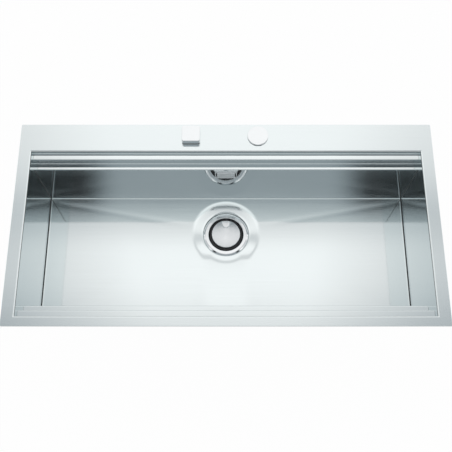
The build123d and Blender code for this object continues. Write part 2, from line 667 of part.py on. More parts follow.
with BuildPart() as waste_body:
    add(
        turned(
            DRAIN_PLANE,
            DRAIN_AXIS,
            [
                (DRAIN_HOLE_RADIUS, -BODY_TOP),
                (BODY_RIM_RADIUS, -BODY_TOP),
                (BODY_RIM_RADIUS, -BODY_TOP - BODY_RIM),
                (BODY_RADIUS, -BODY_TOP - BODY_RIM - BODY_WALL),
                (BODY_RADIUS, -BODY_STRAIGHT),
                (TAIL_RADIUS, -BODY_CONE_END),
                (TAIL_RADIUS, -TAIL_END),
                (TAIL_BORE_RADIUS, -TAIL_END),
                (TAIL_BORE_RADIUS, -BODY_CONE_END),
                (BODY_BORE, -BODY_STRAIGHT),
                (BODY_BORE, -COLLAR_END),
                (COLLAR_BORE, -COLLAR_END),
                (COLLAR_BORE, -COLLAR_TOP),
                (DRAIN_HOLE_RADIUS, -COLLAR_TOP + BODY_WALL / 2),
            ],
        )
    )
    # Ribs and hub that guide the lift pin
    with BuildSketch(drain_level(GUIDE_TOP)):
        Circle(GUIDE_RADIUS)
        with PolarLocations(BODY_BORE / 2, GUIDE_RIBS, start_angle=GUIDE_TURN):
            Rectangle(BODY_BORE + BODY_WALL / 2, GUIDE_RIB)
        Circle(PIN_RADIUS + RUNNING_GAP, mode=Mode.SUBTRACT)
    extrude(amount=-GUIDE_HEIGHT)
    # Lever housing with its open face on the left
    with BuildSketch(FACE_PLANE):
        Rectangle(HOUSING_WIDTH, HOUSING_HEIGHT)
    extrude(amount=-(HOUSING_LENGTH + BODY_WALL / 2))
    with BuildSketch(FACE_PLANE):
        Rectangle(FACE_WIDTH, FACE_HEIGHT)
    extrude(amount=-HOUSING_FLANGE)
    with BuildSketch(FACE_PLANE):
        Rectangle(HOUSING_BORE_WIDTH, HOUSING_BORE_HEIGHT)
    extrude(amount=-(HOUSING_LENGTH + 2 * BODY_WALL), mode=Mode.SUBTRACT)
    with BuildSketch(FACE_PLANE):
        with GridLocations(*COVER_SCREW_PITCH, 2, 2):
            Circle(COVER_SCREW_RADIUS + RUNNING_GAP)
    extrude(amount=-HOUSING_FLANGE, mode=Mode.SUBTRACT)
    with BuildSketch(Plane((-LEVER_ARM, DRAIN_Y, DISH_Z - AXLE_DEPTH), z_dir=(0, -1, 0))):
        Circle(AXLE_RADIUS + RUNNING_GAP)
    extrude(amount=HOUSING_WIDTH / 2, both=True, mode=Mode.SUBTRACT)
    with BuildSketch(Plane((-GLAND_OUT, DRAIN_Y, DISH_Z - AXLE_DEPTH))):
        Circle(GLAND_SPIGOT_RADIUS)
    extrude(amount=HOUSING_HEIGHT / 2, mode=Mode.SUBTRACT)
    # Overflow inlet at the back
    with BuildSketch(INLET_PLANE.offset(BODY_RADIUS - BODY_WALL / 2)):
        Circle(SPIGOT_RADIUS)
    extrude(amount=SPIGOT_END - BODY_RADIUS + BODY_WALL / 2)
    with BuildSketch(INLET_PLANE.offset(BODY_BORE - BODY_WALL / 2)):
        Circle(SPIGOT_RADIUS - SPIGOT_WALL)
    extrude(amount=SPIGOT_END - BODY_BORE + BODY_WALL / 2, mode=Mode.SUBTRACT)
save(waste_body, "waste_body")

with BuildPart() as lever_cover_gasket:
    with BuildSketch(FACE_PLANE):
        Rectangle(FACE_WIDTH, FACE_HEIGHT)
        Rectangle(HOUSING_BORE_WIDTH, HOUSING_BORE_HEIGHT, mode=Mode.SUBTRACT)
        with GridLocations(*COVER_SCREW_PITCH, 2, 2):
            Circle(COVER_SCREW_RADIUS + RUNNING_GAP, mode=Mode.SUBTRACT)
    extrude(amount=COVER_GASKET)
save(lever_cover_gasket, "lever_cover_gasket")

with BuildPart() as lever_cover:
    with BuildSketch(FACE_PLANE.offset(COVER_GASKET)):
        Rectangle(FACE_WIDTH, FACE_HEIGHT)
        with GridLocations(*COVER_SCREW_PITCH, 2, 2):
            Circle(COVER_SCREW_RADIUS + RUNNING_GAP, mode=Mode.SUBTRACT)
    extrude(amount=COVER_PLATE)
    fillet(lever_cover.edges().filter_by(Axis.X), HOUSING_LIP / 2)
save(lever_cover, "lever_cover")

with BuildPart() as lever_cover_screws:
    with BuildSketch(FACE_PLANE.offset(COVER_GASKET + COVER_PLATE)):
        with GridLocations(*COVER_SCREW_PITCH, 2, 2):
            Circle(COVER_SCREW_RADIUS)
    extrude(amount=-COVER_SCREW_LENGTH)
    with BuildSketch(FACE_PLANE.offset(COVER_GASKET + COVER_PLATE)):
        with GridLocations(*COVER_SCREW_PITCH, 2, 2):
            Circle(COVER_SCREW_HEAD_RADIUS)
    extrude(amount=COVER_SCREW_HEAD)
save(lever_cover_screws, "lever_cover_screws")

# Lever under the lift pin, drawn along its own arm, which slopes down at rest
LEVER_PLANE = Plane(
    origin=(-LEVER_ARM, DRAIN_Y, DISH_Z - AXLE_DEPTH),
    x_dir=(cos(LEVER_ANGLE), 0, -sin(LEVER_ANGLE)),
    z_dir=(0, -1, 0),
)

with BuildPart() as lift_lever:
    with BuildSketch(LEVER_PLANE):
        with Locations(((LEVER_ARM - LEVER_TAIL) / 2, 0)):
            Rectangle(LEVER_ARM + LEVER_TAIL, LEVER_HEIGHT)
        with Locations((LEVER_ARM, 0)):
            Circle(LEVER_TIP_RADIUS)
    extrude(amount=LEVER_WIDTH / 2, both=True)
    with BuildSketch(LEVER_PLANE):
        Circle(LEVER_HUB_RADIUS)
    extrude(amount=HOUSING_BORE_WIDTH / 2 - SEAT_GAP, both=True)
    with BuildSketch(LEVER_PLANE):
        Circle(AXLE_RADIUS + RUNNING_GAP)
    extrude(amount=HOUSING_BORE_WIDTH / 2, both=True, mode=Mode.SUBTRACT)
    with BuildSketch(LEVER_PLANE):
        with Locations((LEVER_HEIGHT / 2 - LEVER_TAIL, 0)):
            Circle(GLAND_BORE_RADIUS)
    extrude(amount=LEVER_WIDTH / 2, both=True, mode=Mode.SUBTRACT)
save(lift_lever, "lift_lever")

with BuildPart() as lever_axle:
    with BuildSketch(LEVER_PLANE):
        Circle(AXLE_RADIUS)
    extrude(amount=HOUSING_WIDTH / 2, both=True)
save(lever_axle, "lever_axle")


def cable_gland(plane, spigot):
    """Gland for the control cable on a plane that faces outwards, with a spigot in its hole."""
    with BuildPart() as gland:
        with BuildSketch(plane.offset(-spigot)):
            Circle(GLAND_SPIGOT_RADIUS - RUNNING_GAP)
        extrude(amount=spigot)
        with BuildSketch(plane):
            Circle(GLAND_FLANGE_RADIUS)
        extrude(amount=GLAND_FLANGE)
        with BuildSketch(plane):
            Circle(GLAND_RADIUS)
        extrude(amount=GLAND_LENGTH)
        with BuildSketch(plane.offset(-spigot)):
            Circle(GLAND_BORE_RADIUS)
        extrude(amount=spigot + GLAND_LENGTH, mode=Mode.SUBTRACT)
    return gland


GLAND_TOP = Plane((-GLAND_OUT, DRAIN_Y, DISH_Z - AXLE_DEPTH + HOUSING_HEIGHT / 2))
lever_cable_gland = cable_gland(GLAND_TOP, HOUSING_WALL)
save(lever_cable_gland, "lever_cable_gland")

# Strainer: a moulded basket in the cup, its plug seal, and a steel cap on a stem through both
SEAT_SLOPE = (SEAT_DEPTH - THROAT_DEPTH) / (THROAT_RADIUS - CUP_RADIUS)
BASKET_RIM_RADIUS = THROAT_RADIUS - BASKET_RIM_GAP
BASKET_STEP_RADIUS = (CUP_RADIUS + BASKET_TOP_RADIUS) / 2 + BASKET_RIM_GAP
HUB_TOP = BASKET_DEPTH - HUB_HEIGHT
STEM_BORE = STEM_RADIUS + RUNNING_GAP


def seat_height(radius):
    """Height of the basket's rim above the dish, one seat gap clear of the sloping seat."""
    clear = SEAT_GAP * (1 + SEAT_SLOPE**2) ** 0.5
    return -THROAT_DEPTH - (THROAT_RADIUS - radius) * SEAT_SLOPE + clear


with BuildPart() as strainer_basket:
    add(
        turned(
            DRAIN_PLANE,
            DRAIN_AXIS,
            [
                (BASKET_RIM_RADIUS, BASKET_RIM_TOP),
                (BASKET_RIM_RADIUS, seat_height(BASKET_RIM_RADIUS)),
                (BASKET_STEP_RADIUS, seat_height(BASKET_STEP_RADIUS)),
                (BASKET_TOP_RADIUS, seat_height(BASKET_STEP_RADIUS)),
                (BASKET_BOTTOM_RADIUS, -BASKET_DEPTH),
                (STEM_BORE, -BASKET_DEPTH),
                (STEM_BORE, -HUB_TOP),
                (STEM_SHOULDER_RADIUS, -HUB_TOP),
                (STEM_SHOULDER_RADIUS, BASKET_WALL - BASKET_DEPTH),
                (BASKET_BOTTOM_RADIUS - BASKET_WALL, BASKET_WALL - BASKET_DEPTH),
                (BASKET_TOP_RADIUS - BASKET_WALL, BASKET_RIM_TOP),
            ],
        )
    )
    with BuildSketch(drain_level(BASKET_DEPTH - BASKET_WALL)):
        with PolarLocations(BASKET_BOTTOM_RADIUS, BASKET_SLOTS):
            Rectangle(2 * BASKET_WALL + BASKET_TOP_RADIUS - BASKET_BOTTOM_RADIUS, BASKET_SLOT_WIDTH)
    extrude(amount=BASKET_DEPTH - BASKET_WALL - BASKET_SLOT_TOP, mode=Mode.SUBTRACT)
save(strainer_basket, "strainer_basket")

CAP_TOP = CAP_UNDERSIDE + CAP_EDGE
with BuildPart() as strainer_cap:
    with BuildSketch(DRAIN_PLANE):
        with BuildLine():
            Polyline((0, CAP_TOP + CAP_DOME), (0, CAP_UNDERSIDE), (CAP_RADIUS, CAP_UNDERSIDE))
            Line((CAP_RADIUS, CAP_UNDERSIDE), (CAP_RADIUS, CAP_TOP - CAP_ROUND))
            RadiusArc((CAP_RADIUS, CAP_TOP - CAP_ROUND), (CAP_RADIUS - CAP_ROUND, CAP_TOP), -CAP_ROUND)
            TangentArc((0, CAP_TOP + CAP_DOME), (CAP_RADIUS - CAP_ROUND, CAP_TOP), tangent=(1, 0))
        make_face()
    revolve(axis=DRAIN_AXIS)
    # Thumb notch at the back edge
    with BuildSketch(drain_level(NOTCH_DEPTH - CAP_TOP)):
        with Locations((0, CAP_RADIUS - NOTCH_LENGTH / 2 + NOTCH_WIDTH / 4)):
            Rectangle(NOTCH_WIDTH, NOTCH_LENGTH - NOTCH_WIDTH / 2)
        with Locations((0, CAP_RADIUS - NOTCH_LENGTH + NOTCH_WIDTH / 2)):
            Circle(NOTCH_WIDTH / 2)
    extrude(amount=NOTCH_DEPTH + CAP_DOME, mode=Mode.SUBTRACT)
save(strainer_cap, "strainer_cap")

PLUG_UNDERSIDE = CUP_DEPTH - SEAT_GAP
with BuildPart() as strainer_stem:
    add(
        turned(
            DRAIN_PLANE,
            DRAIN_AXIS,
            [
                (0, CAP_UNDERSIDE),
                (STEM_SHOULDER_RADIUS, CAP_UNDERSIDE),
                (STEM_SHOULDER_RADIUS, -HUB_TOP),
                (STEM_RADIUS, -HUB_TOP),
                (STEM_RADIUS, -PLUG_UNDERSIDE),
                (STEM_NUT_RADIUS, -PLUG_UNDERSIDE),
                (STEM_NUT_RADIUS, -STEM_END),
                (0, -STEM_END),
            ],
        )
    )
save(strainer_stem, "strainer_stem")

with BuildPart() as plug_seal:
    add(
        turned(
            DRAIN_PLANE,
            DRAIN_AXIS,
            [
                (STEM_BORE, -BASKET_DEPTH),
                (OUTLET_RADIUS, -BASKET_DEPTH),
                (PLUG_RADIUS, -(BASKET_DEPTH + PLUG_UNDERSIDE) / 2),
                (PLUG_RADIUS, -PLUG_UNDERSIDE),
                (STEM_BORE, -PLUG_UNDERSIDE),
            ],
        )
    )
save(plug_seal, "plug_seal")

with BuildPart() as lift_pin:
    add(
        turned(
            DRAIN_PLANE,
            DRAIN_AXIS,
            [
                (0, -PIN_TOP),
                (PIN_HEAD_RADIUS, -PIN_TOP),
                (PIN_HEAD_RADIUS, -PIN_TOP - PIN_HEAD),
                (PIN_RADIUS, -PIN_TOP - PIN_HEAD),
                (PIN_RADIUS, -PIN_FOOT),
                (0, -PIN_FOOT),
            ],
        )
    )
save(lift_pin, "lift_pin")

# Overflow: a plate inside the bowl, whose stud draws a moulded elbow up to the wall's outside
BODY_FRONT = OVERFLOW_GASKET
BODY_BACK = BODY_FRONT + OVERFLOW_BODY_DEPTH
with BuildPart() as overflow_plate:
    with BuildSketch(WALL_FACE):
        RectangleRounded(OVERFLOW_WIDTH, OVERFLOW_HEIGHT, OVERFLOW_CORNER)
    extrude(amount=OVERFLOW_PLATE)
    with BuildSketch(WALL_FACE.offset(OVERFLOW_PLATE)):
        RectangleRounded(OVERFLOW_PANEL_WIDTH, OVERFLOW_PANEL_HEIGHT, OVERFLOW_CORNER / 2)
    extrude(amount=OVERFLOW_PANEL)
    fillet(overflow_plate.faces().sort_by(Axis.Y)[0].edges(), OVERFLOW_PANEL / 2)
    with BuildSketch(WALL_FACE):
        with GridLocations(SLIT_SPACING, 0, 2, 1):
            Rectangle(SLIT_WIDTH, SLIT_HEIGHT)
    extrude(amount=OVERFLOW_PLATE, mode=Mode.SUBTRACT)
    with BuildSketch(WALL_FACE):
        Circle(OVERFLOW_STUD_RADIUS)
    extrude(amount=-(SHEET + BODY_BACK + OVERFLOW_NUT))
save(overflow_plate, "overflow_plate")

with BuildPart() as overflow_gasket:
    with BuildSketch(WALL_OUTSIDE):
        Rectangle(OVERFLOW_BODY_WIDTH, OVERFLOW_BODY_HEIGHT)
        RectangleRounded(
            OVERFLOW_HOLE_WIDTH, OVERFLOW_HOLE_HEIGHT, OVERFLOW_CORNER, mode=Mode.SUBTRACT
        )
    extrude(amount=OVERFLOW_GASKET)
save(overflow_gasket, "overflow_gasket")

PIPE_Y = WALL_BACK + PIPE_WALL_GAP + PIPE_NUT_RADIUS
BODY_UNDER = OVERFLOW_Z - OVERFLOW_BODY_HEIGHT / 2
with BuildPart() as overflow_body:
    with BuildSketch(WALL_OUTSIDE.offset(BODY_FRONT)):
        RectangleRounded(OVERFLOW_BODY_WIDTH, OVERFLOW_BODY_HEIGHT, OVERFLOW_CORNER)
    extrude(amount=OVERFLOW_BODY_DEPTH)
    with BuildSketch(Plane((0, PIPE_Y, OVERFLOW_Z))):
        Circle(SPIGOT_RADIUS)
    extrude(amount=-(OVERFLOW_BODY_HEIGHT / 2 + SPIGOT_REST + SPIGOT_LENGTH))
    with BuildSketch(WALL_OUTSIDE.offset(BODY_FRONT)):
        RectangleRounded(OVERFLOW_HOLE_WIDTH, OVERFLOW_HOLE_HEIGHT, OVERFLOW_CORNER)
    extrude(amount=OVERFLOW_BODY_DEPTH - OVERFLOW_BODY_WALL, mode=Mode.SUBTRACT)
    with BuildSketch(Plane((0, PIPE_Y, OVERFLOW_Z))):
        Circle(SPIGOT_RADIUS - SPIGOT_WALL)
    extrude(amount=-(OVERFLOW_BODY_HEIGHT / 2 + SPIGOT_REST + SPIGOT_LENGTH), mode=Mode.SUBTRACT)
    with BuildSketch(WALL_OUTSIDE.offset(BODY_FRONT)):
        Circle(OVERFLOW_STUD_RADIUS + PIPE_GAP)
    extrude(amount=OVERFLOW_BODY_DEPTH, mode=Mode.SUBTRACT)
save(overflow_body, "overflow_body")

with BuildPart() as overflow_nut:
    with BuildSketch(WALL_OUTSIDE.offset(BODY_BACK)):
        RegularPolygon(OVERFLOW_NUT_RADIUS, NUT_SIDES)
        Circle(OVERFLOW_STUD_RADIUS + RUNNING_GAP, mode=Mode.SUBTRACT)
    extrude(amount=OVERFLOW_NUT)
save(overflow_nut, "overflow_nut")

# Rigid overflow pipe: down behind the back wall and forward into the waste body
PIPE_TOP = BODY_UNDER - SPIGOT_REST
INLET_Z = DISH_Z - INLET_DEPTH
PIPE_END = DRAIN_Y + BODY_RADIUS + SPIGOT_REST
with BuildPart() as overflow_pipe:
    with BuildLine():
        pipe_path = FilletPolyline(
            (0, PIPE_Y, PIPE_TOP), (0, PIPE_Y, INLET_Z), (0, PIPE_END, INLET_Z), radius=PIPE_BEND
        )
    with BuildSketch(Plane((0, PIPE_Y, PIPE_TOP), z_dir=(0, 0, -1))):
        Circle(PIPE_RADIUS)
    sweep(path=pipe_path)
    with BuildSketch(Plane((0, PIPE_Y, PIPE_TOP), z_dir=(0, 0, -1))):
        Circle(PIPE_RADIUS - PIPE_WALL)
    sweep(path=pipe_path, mode=Mode.SUBTRACT)
save(overflow_pipe, "overflow_pipe")

with BuildPart() as overflow_pipe_nuts:
    for nut_plane in (
        Plane((0, PIPE_Y, PIPE_TOP), z_dir=(0, 0, -1)),
        Plane((0, PIPE_END, INLET_Z), z_dir=(0, 1, 0)),
    ):
        with BuildSketch(nut_plane):
            RegularPolygon(PIPE_NUT_RADIUS, PIPE_NUT_SIDES)
            Circle(PIPE_RADIUS + RUNNING_GAP, mode=Mode.SUBTRACT)
        extrude(amount=PIPE_NUT_LENGTH)
save(overflow_pipe_nuts, "overflow_pipe_nuts")

# Turn control: knob on a spindle through a clamped bush, with the cable's drum in a housing below
BUSH_TOP = RIM_HEIGHT + BUSH_FLANGE
BUSH_END = RIM_HEIGHT - BUSH_LENGTH
BUSH_RADIUS = DECK_HOLE_RADIUS - BUSH_GAP
KNOB_UNDER = BUSH_TOP + KNOB_GAP
SPINDLE_BORE = SPINDLE_RADIUS + RUNNING_GAP
DRUM_TOP = BUSH_END - CONTROL_WALL - DRUM_GAP
DRUM_END = DRUM_TOP - DRUM_HEIGHT
CONTROL_END = DRUM_END - DRUM_GAP


def control_level(height):
    """Level plane through the control's axis at a height above the worktop."""
    return Plane((CONTROL_X, CONTROL_Y, height))


with BuildPart() as control_knob:
    with BuildSketch(control_level(KNOB_UNDER)):
        RectangleRounded(KNOB_WIDTH, KNOB_DEPTH, KNOB_CORNER)
    extrude(amount=KNOB_HEIGHT)
    fillet(control_knob.faces().sort_by(Axis.Z)[-1].edges(), KNOB_ROUND)
    with BuildSketch(control_level(KNOB_UNDER)):
        Circle(SPINDLE_BORE)
    extrude(amount=KNOB_SOCKET, mode=Mode.SUBTRACT)
save(control_knob, "control_knob")

with BuildPart() as control_spindle:
    with BuildSketch(control_level(DRUM_END)):
        Circle(SPINDLE_RADIUS)
    extrude(amount=KNOB_UNDER + KNOB_SOCKET - DRUM_END)
save(control_spindle, "control_spindle")

with BuildPart() as control_bush:
    add(
        turned(
            CONTROL_PLANE,
            CONTROL_AXIS,
            [
                (SPINDLE_BORE, BUSH_TOP),
                (BUSH_FLANGE_RADIUS, BUSH_TOP),
                (BUSH_FLANGE_RADIUS, RIM_HEIGHT),
                (BUSH_RADIUS, RIM_HEIGHT),
                (BUSH_RADIUS, BUSH_END),
                (SPINDLE_BORE, BUSH_END),
            ],
        )
    )
save(control_bush, "control_bush")

with BuildPart() as control_washer:
    with BuildSketch(control_level(DECK_UNDER - WASHER)):
        Circle(WASHER_RADIUS)
        Circle(DECK_HOLE_RADIUS, mode=Mode.SUBTRACT)
    extrude(amount=WASHER)
save(control_washer, "control_washer")

with BuildPart() as control_backnut:
    with BuildSketch(control_level(DECK_UNDER - WASHER)):
        RegularPolygon(BACKNUT_RADIUS, NUT_SIDES)
        Circle(BUSH_RADIUS + RUNNING_GAP, mode=Mode.SUBTRACT)
    extrude(amount=-BACKNUT)
save(control_backnut, "control_backnut")

with BuildPart() as cable_drum:
    add(
        turned(
            CONTROL_PLANE,
            CONTROL_AXIS,
            [
                (SPINDLE_BORE, DRUM_TOP),
                (DRUM_RADIUS, DRUM_TOP),
                (DRUM_RADIUS, DRUM_TOP - DRUM_HEIGHT / 3),
                (DRUM_RADIUS - DRUM_GROOVE, DRUM_TOP - DRUM_HEIGHT / 2),
                (DRUM_RADIUS, DRUM_END + DRUM_HEIGHT / 3),
                (DRUM_RADIUS, DRUM_END),
                (SPINDLE_BORE, DRUM_END),
            ],
        )
    )
save(cable_drum, "cable_drum")

# The housing's flat pad on the left carries the cable's gland
CONTROL_BORE = CONTROL_RADIUS - CONTROL_WALL
CONTROL_PAD = Plane(
    origin=(CONTROL_X - CONTROL_RADIUS - CONTROL_WALL, CONTROL_Y, (DRUM_TOP + DRUM_END) / 2),
    x_dir=(0, -1, 0),
    z_dir=(-1, 0, 0),
)
with BuildPart() as control_housing:
    with BuildSketch(control_level(CONTROL_END)):
        Circle(CONTROL_RADIUS)
    extrude(amount=BUSH_END - CONTROL_END)
    with BuildSketch(CONTROL_PAD):
        Rectangle(2 * GLAND_FLANGE_RADIUS, BUSH_END - CONTROL_END - 2 * CONTROL_WALL)
    extrude(amount=-CONTROL_RADIUS / 2)
    with BuildSketch(control_level(CONTROL_END)):
        Circle(CONTROL_BORE)
    extrude(amount=BUSH_END - CONTROL_END - CONTROL_WALL, mode=Mode.SUBTRACT)
    with BuildSketch(control_level(CONTROL_END)):
        Circle(SPINDLE_RADIUS + DRUM_GAP)
    extrude(amount=BUSH_END - CONTROL_END, mode=Mode.SUBTRACT)
    with BuildSketch(CONTROL_PAD):
        Circle(GLAND_SPIGOT_RADIUS)
    extrude(amount=-CONTROL_RADIUS / 2, mode=Mode.SUBTRACT)
save(control_housing, "control_housing")

with BuildPart() as control_cover:
    with BuildSketch(control_level(CONTROL_END)):
        Circle(CONTROL_RADIUS)
    extrude(amount=-CONTROL_WALL)
save(control_cover, "control_cover")

control_cable_gland = cable_gland(CONTROL_PAD, CONTROL_WALL)
save(control_cable_gland, "control_cable_gland")

# Cap over the spare tap hole, held by a stud, a bridge under the deck and a wing nut
CAP_UNDER = RIM_HEIGHT + CAP_GASKET


def cap_level(height):
    """Level plane through the tap hole's axis at a height above the worktop."""
    return Plane((CAP_X, CONTROL_Y, height))


with BuildPart() as tap_hole_cap:
    with BuildSketch(cap_level(CAP_UNDER)):
        Circle(TAP_CAP_RADIUS)
    extrude(amount=TAP_CAP)
    fillet(tap_hole_cap.faces().sort_by(Axis.Z)[-1].edges(), TAP_CAP_ROUND)
save(tap_hole_cap, "tap_hole_cap")

with BuildPart() as cap_gasket:
    with BuildSketch(cap_level(RIM_HEIGHT)):
        Circle(CAP_GASKET_RADIUS)
        Circle(DECK_HOLE_RADIUS, mode=Mode.SUBTRACT)
    extrude(amount=CAP_GASKET)
save(cap_gasket, "cap_gasket")

with BuildPart() as cap_stud:
    with BuildSketch(cap_level(CAP_UNDER)):
        Circle(STUD_RADIUS)
    extrude(amount=-STUD_LENGTH)
save(cap_stud, "cap_stud")

with BuildPart() as cap_bridge:
    with BuildSketch(cap_level(DECK_UNDER)):
        RectangleRounded(BRIDGE_LENGTH, BRIDGE_WIDTH, BRIDGE)
        Circle(STUD_RADIUS + STUD_GAP, mode=Mode.SUBTRACT)
    extrude(amount=-BRIDGE)
save(cap_bridge, "cap_bridge")

with BuildPart() as cap_wing_nut:
    with BuildSketch(cap_level(DECK_UNDER - BRIDGE)):
        Circle(WING_HUB_RADIUS)
    extrude(amount=-WING_HUB)
    with BuildSketch(cap_level(DECK_UNDER - BRIDGE - WING_HUB / 2)):
        SlotOverall(WING_SPAN, WING)
    extrude(amount=-WING_HUB)
    with BuildSketch(cap_level(DECK_UNDER - BRIDGE)):
        Circle(STUD_RADIUS + RUNNING_GAP)
    extrude(amount=-2 * WING_HUB, mode=Mode.SUBTRACT)
save(cap_wing_nut, "cap_wing_nut")
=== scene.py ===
"""Looks of an inset stainless steel sink: pressed sheet surfaces, fittings, finishes and a plain studio.

Metres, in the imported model's own frame: X runs along the sink, Y from front to back, Z up.
"""

from functools import partial
from math import pi, radians

import bmesh
import bpy
import numpy as np
from bpy.props import FloatProperty, FloatVectorProperty, PointerProperty
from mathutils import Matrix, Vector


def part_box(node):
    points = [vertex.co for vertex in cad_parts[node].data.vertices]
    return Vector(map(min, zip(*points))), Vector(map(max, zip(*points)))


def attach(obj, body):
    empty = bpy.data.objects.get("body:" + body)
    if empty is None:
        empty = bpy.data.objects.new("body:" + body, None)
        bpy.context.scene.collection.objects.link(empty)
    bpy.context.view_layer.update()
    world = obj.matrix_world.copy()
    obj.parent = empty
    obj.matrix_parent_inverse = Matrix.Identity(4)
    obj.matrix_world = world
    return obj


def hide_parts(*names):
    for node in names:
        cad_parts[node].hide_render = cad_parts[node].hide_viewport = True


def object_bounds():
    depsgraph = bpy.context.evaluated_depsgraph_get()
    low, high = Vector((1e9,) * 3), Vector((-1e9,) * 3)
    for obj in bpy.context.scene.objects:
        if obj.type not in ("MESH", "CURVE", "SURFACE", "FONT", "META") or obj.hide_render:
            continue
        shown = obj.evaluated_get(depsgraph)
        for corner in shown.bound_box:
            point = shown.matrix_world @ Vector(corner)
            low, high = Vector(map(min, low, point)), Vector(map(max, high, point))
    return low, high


bl_info = {
    "name": "Steel Sink Dresser",
    "version": (1, 0, 0),
    "blender": (4, 5, 0),
    "location": "3D View > Sidebar > Sink",
    "description": "Presses, turns and finishes the visible surfaces of an inset steel sink",
    "category": "Object",
}

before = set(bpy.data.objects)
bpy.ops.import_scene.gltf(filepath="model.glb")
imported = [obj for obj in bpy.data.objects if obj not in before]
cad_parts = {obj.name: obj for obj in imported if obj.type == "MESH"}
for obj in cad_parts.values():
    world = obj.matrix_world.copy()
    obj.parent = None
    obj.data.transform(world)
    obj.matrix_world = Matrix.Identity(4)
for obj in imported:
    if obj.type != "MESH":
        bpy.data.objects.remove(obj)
CAD_LOW, CAD_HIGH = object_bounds()

# Kinds of properties
Length = partial(FloatProperty, subtype="DISTANCE", unit="LENGTH", precision=6)
Colour = partial(FloatVectorProperty, subtype="COLOR", size=4, min=0.0, max=1.0)
Factor = partial(FloatProperty, subtype="FACTOR", min=0.0, max=1.0)

# Brushed steel: noise scales along the grain and across it
HAIR_SCALES = (60.0, 2600.0)
STREAK_SCALES = (4.0, 320.0)

# Meshes
CLOSE = 1e-6  # places nearer than this are the same
SHARP = radians(40.0)  # edges steeper than this aren't smoothed
LEVEL = np.array((1.0, 1.0, 0.0))  # keeps the level part of a place
ROWS_PER_TURN = 8  # along a thread

# Grid of the pressed floor
FINE_STEP = 0.002  # between columns near the drain
FINE_COLUMNS = 52  # of them on each side of the middle
COARSE_COLUMNS = 75  # from there to each end
ROW_STEP = 0.0022
SHEET_STEPS = 100  # thicknesses that are told apart

# Rings round the drain, which replace the grid in a square
SQUARE_COLUMNS = 35  # half its width
SQUARE_ROWS = 32  # half its length
BLEND_ROWS = 10  # between the square and the first ring
OUTER_RINGS = (0.066, 0.064, 0.0625)
SEAT_RING_STEP = 0.0004
SEAT_SLOPE = 0.0018  # width of the step down to the seat
HIDDEN_RING = 0.056  # under the flange

# Places of the clips along each side
END_CLIPS = (-0.155, 0.105)
BACK_CLIPS = (-0.4, -0.18, 0.18, 0.4)
FRONT_CLIPS = (-0.39, 0.0, 0.39)

# Studio light: the width of the top light, and how it falls to the sides
LEAST_HEIGHT = 0.02
LEAN_BASE, LEAN_GROWTH = 0.30, 1.2
FALL_START, FALL_SLOPE, FALL_FROM, FALL_LEAST = 1.20, 1.16, 0.2, 0.32
# Where each change starts and ends, then the factors there if they aren't 0 and 1
OVERHEAD = (0.12, 0.30, 0.65, 1.0)
DIP = (0.325, 0.385, 0.0, 0.3)
DIP_END = (0.40, 0.46, 1.0, 0.0)
WIDE = (0.34, 0.44)
WIDE_LEVELS = (-0.1, 0.1, 0.87, 0.95)
FLAG_SIDE = (0.165, 0.225)
FLAG_FRONT = (-0.485, -0.468)
LOW_FRONT = (-1.1, -0.75, 1.8, 1.0)
BACK_EDGE = (-0.413, -0.362)
HORIZON = (0.2, 0.36)
TINT_LEVELS = (0.15, 0.95)
SHADE_TINT = (0.9, 1.0, 1.07, 1.0)
WHITE = (1.0, 1.0, 1.0, 1.0)
FLOOR_GLOW = 0.975  # share of the floor's white that no shadow reaches
FLOOR_REACH = 30.0


def math_method(operation, swapped=False):
    """An operator that adds one Math node; swapped, it takes a number on its left."""

    def method(self, other):
        pair = (other, self) if swapped else (self, other)
        return self.graph.math(operation, *pair)

    return method


class Wire:
    """A shader socket that takes part in Python expressions."""

    __add__, __radd__ = math_method("ADD"), math_method("ADD", True)
    __sub__, __rsub__ = math_method("SUBTRACT"), math_method("SUBTRACT", True)
    __mul__, __rmul__ = math_method("MULTIPLY"), math_method("MULTIPLY", True)
    __truediv__ = math_method("DIVIDE")

    def __init__(self, graph, socket):
        self.graph = graph
        self.socket = socket

    def __abs__(self):
        return self.graph.math("ABSOLUTE", self)


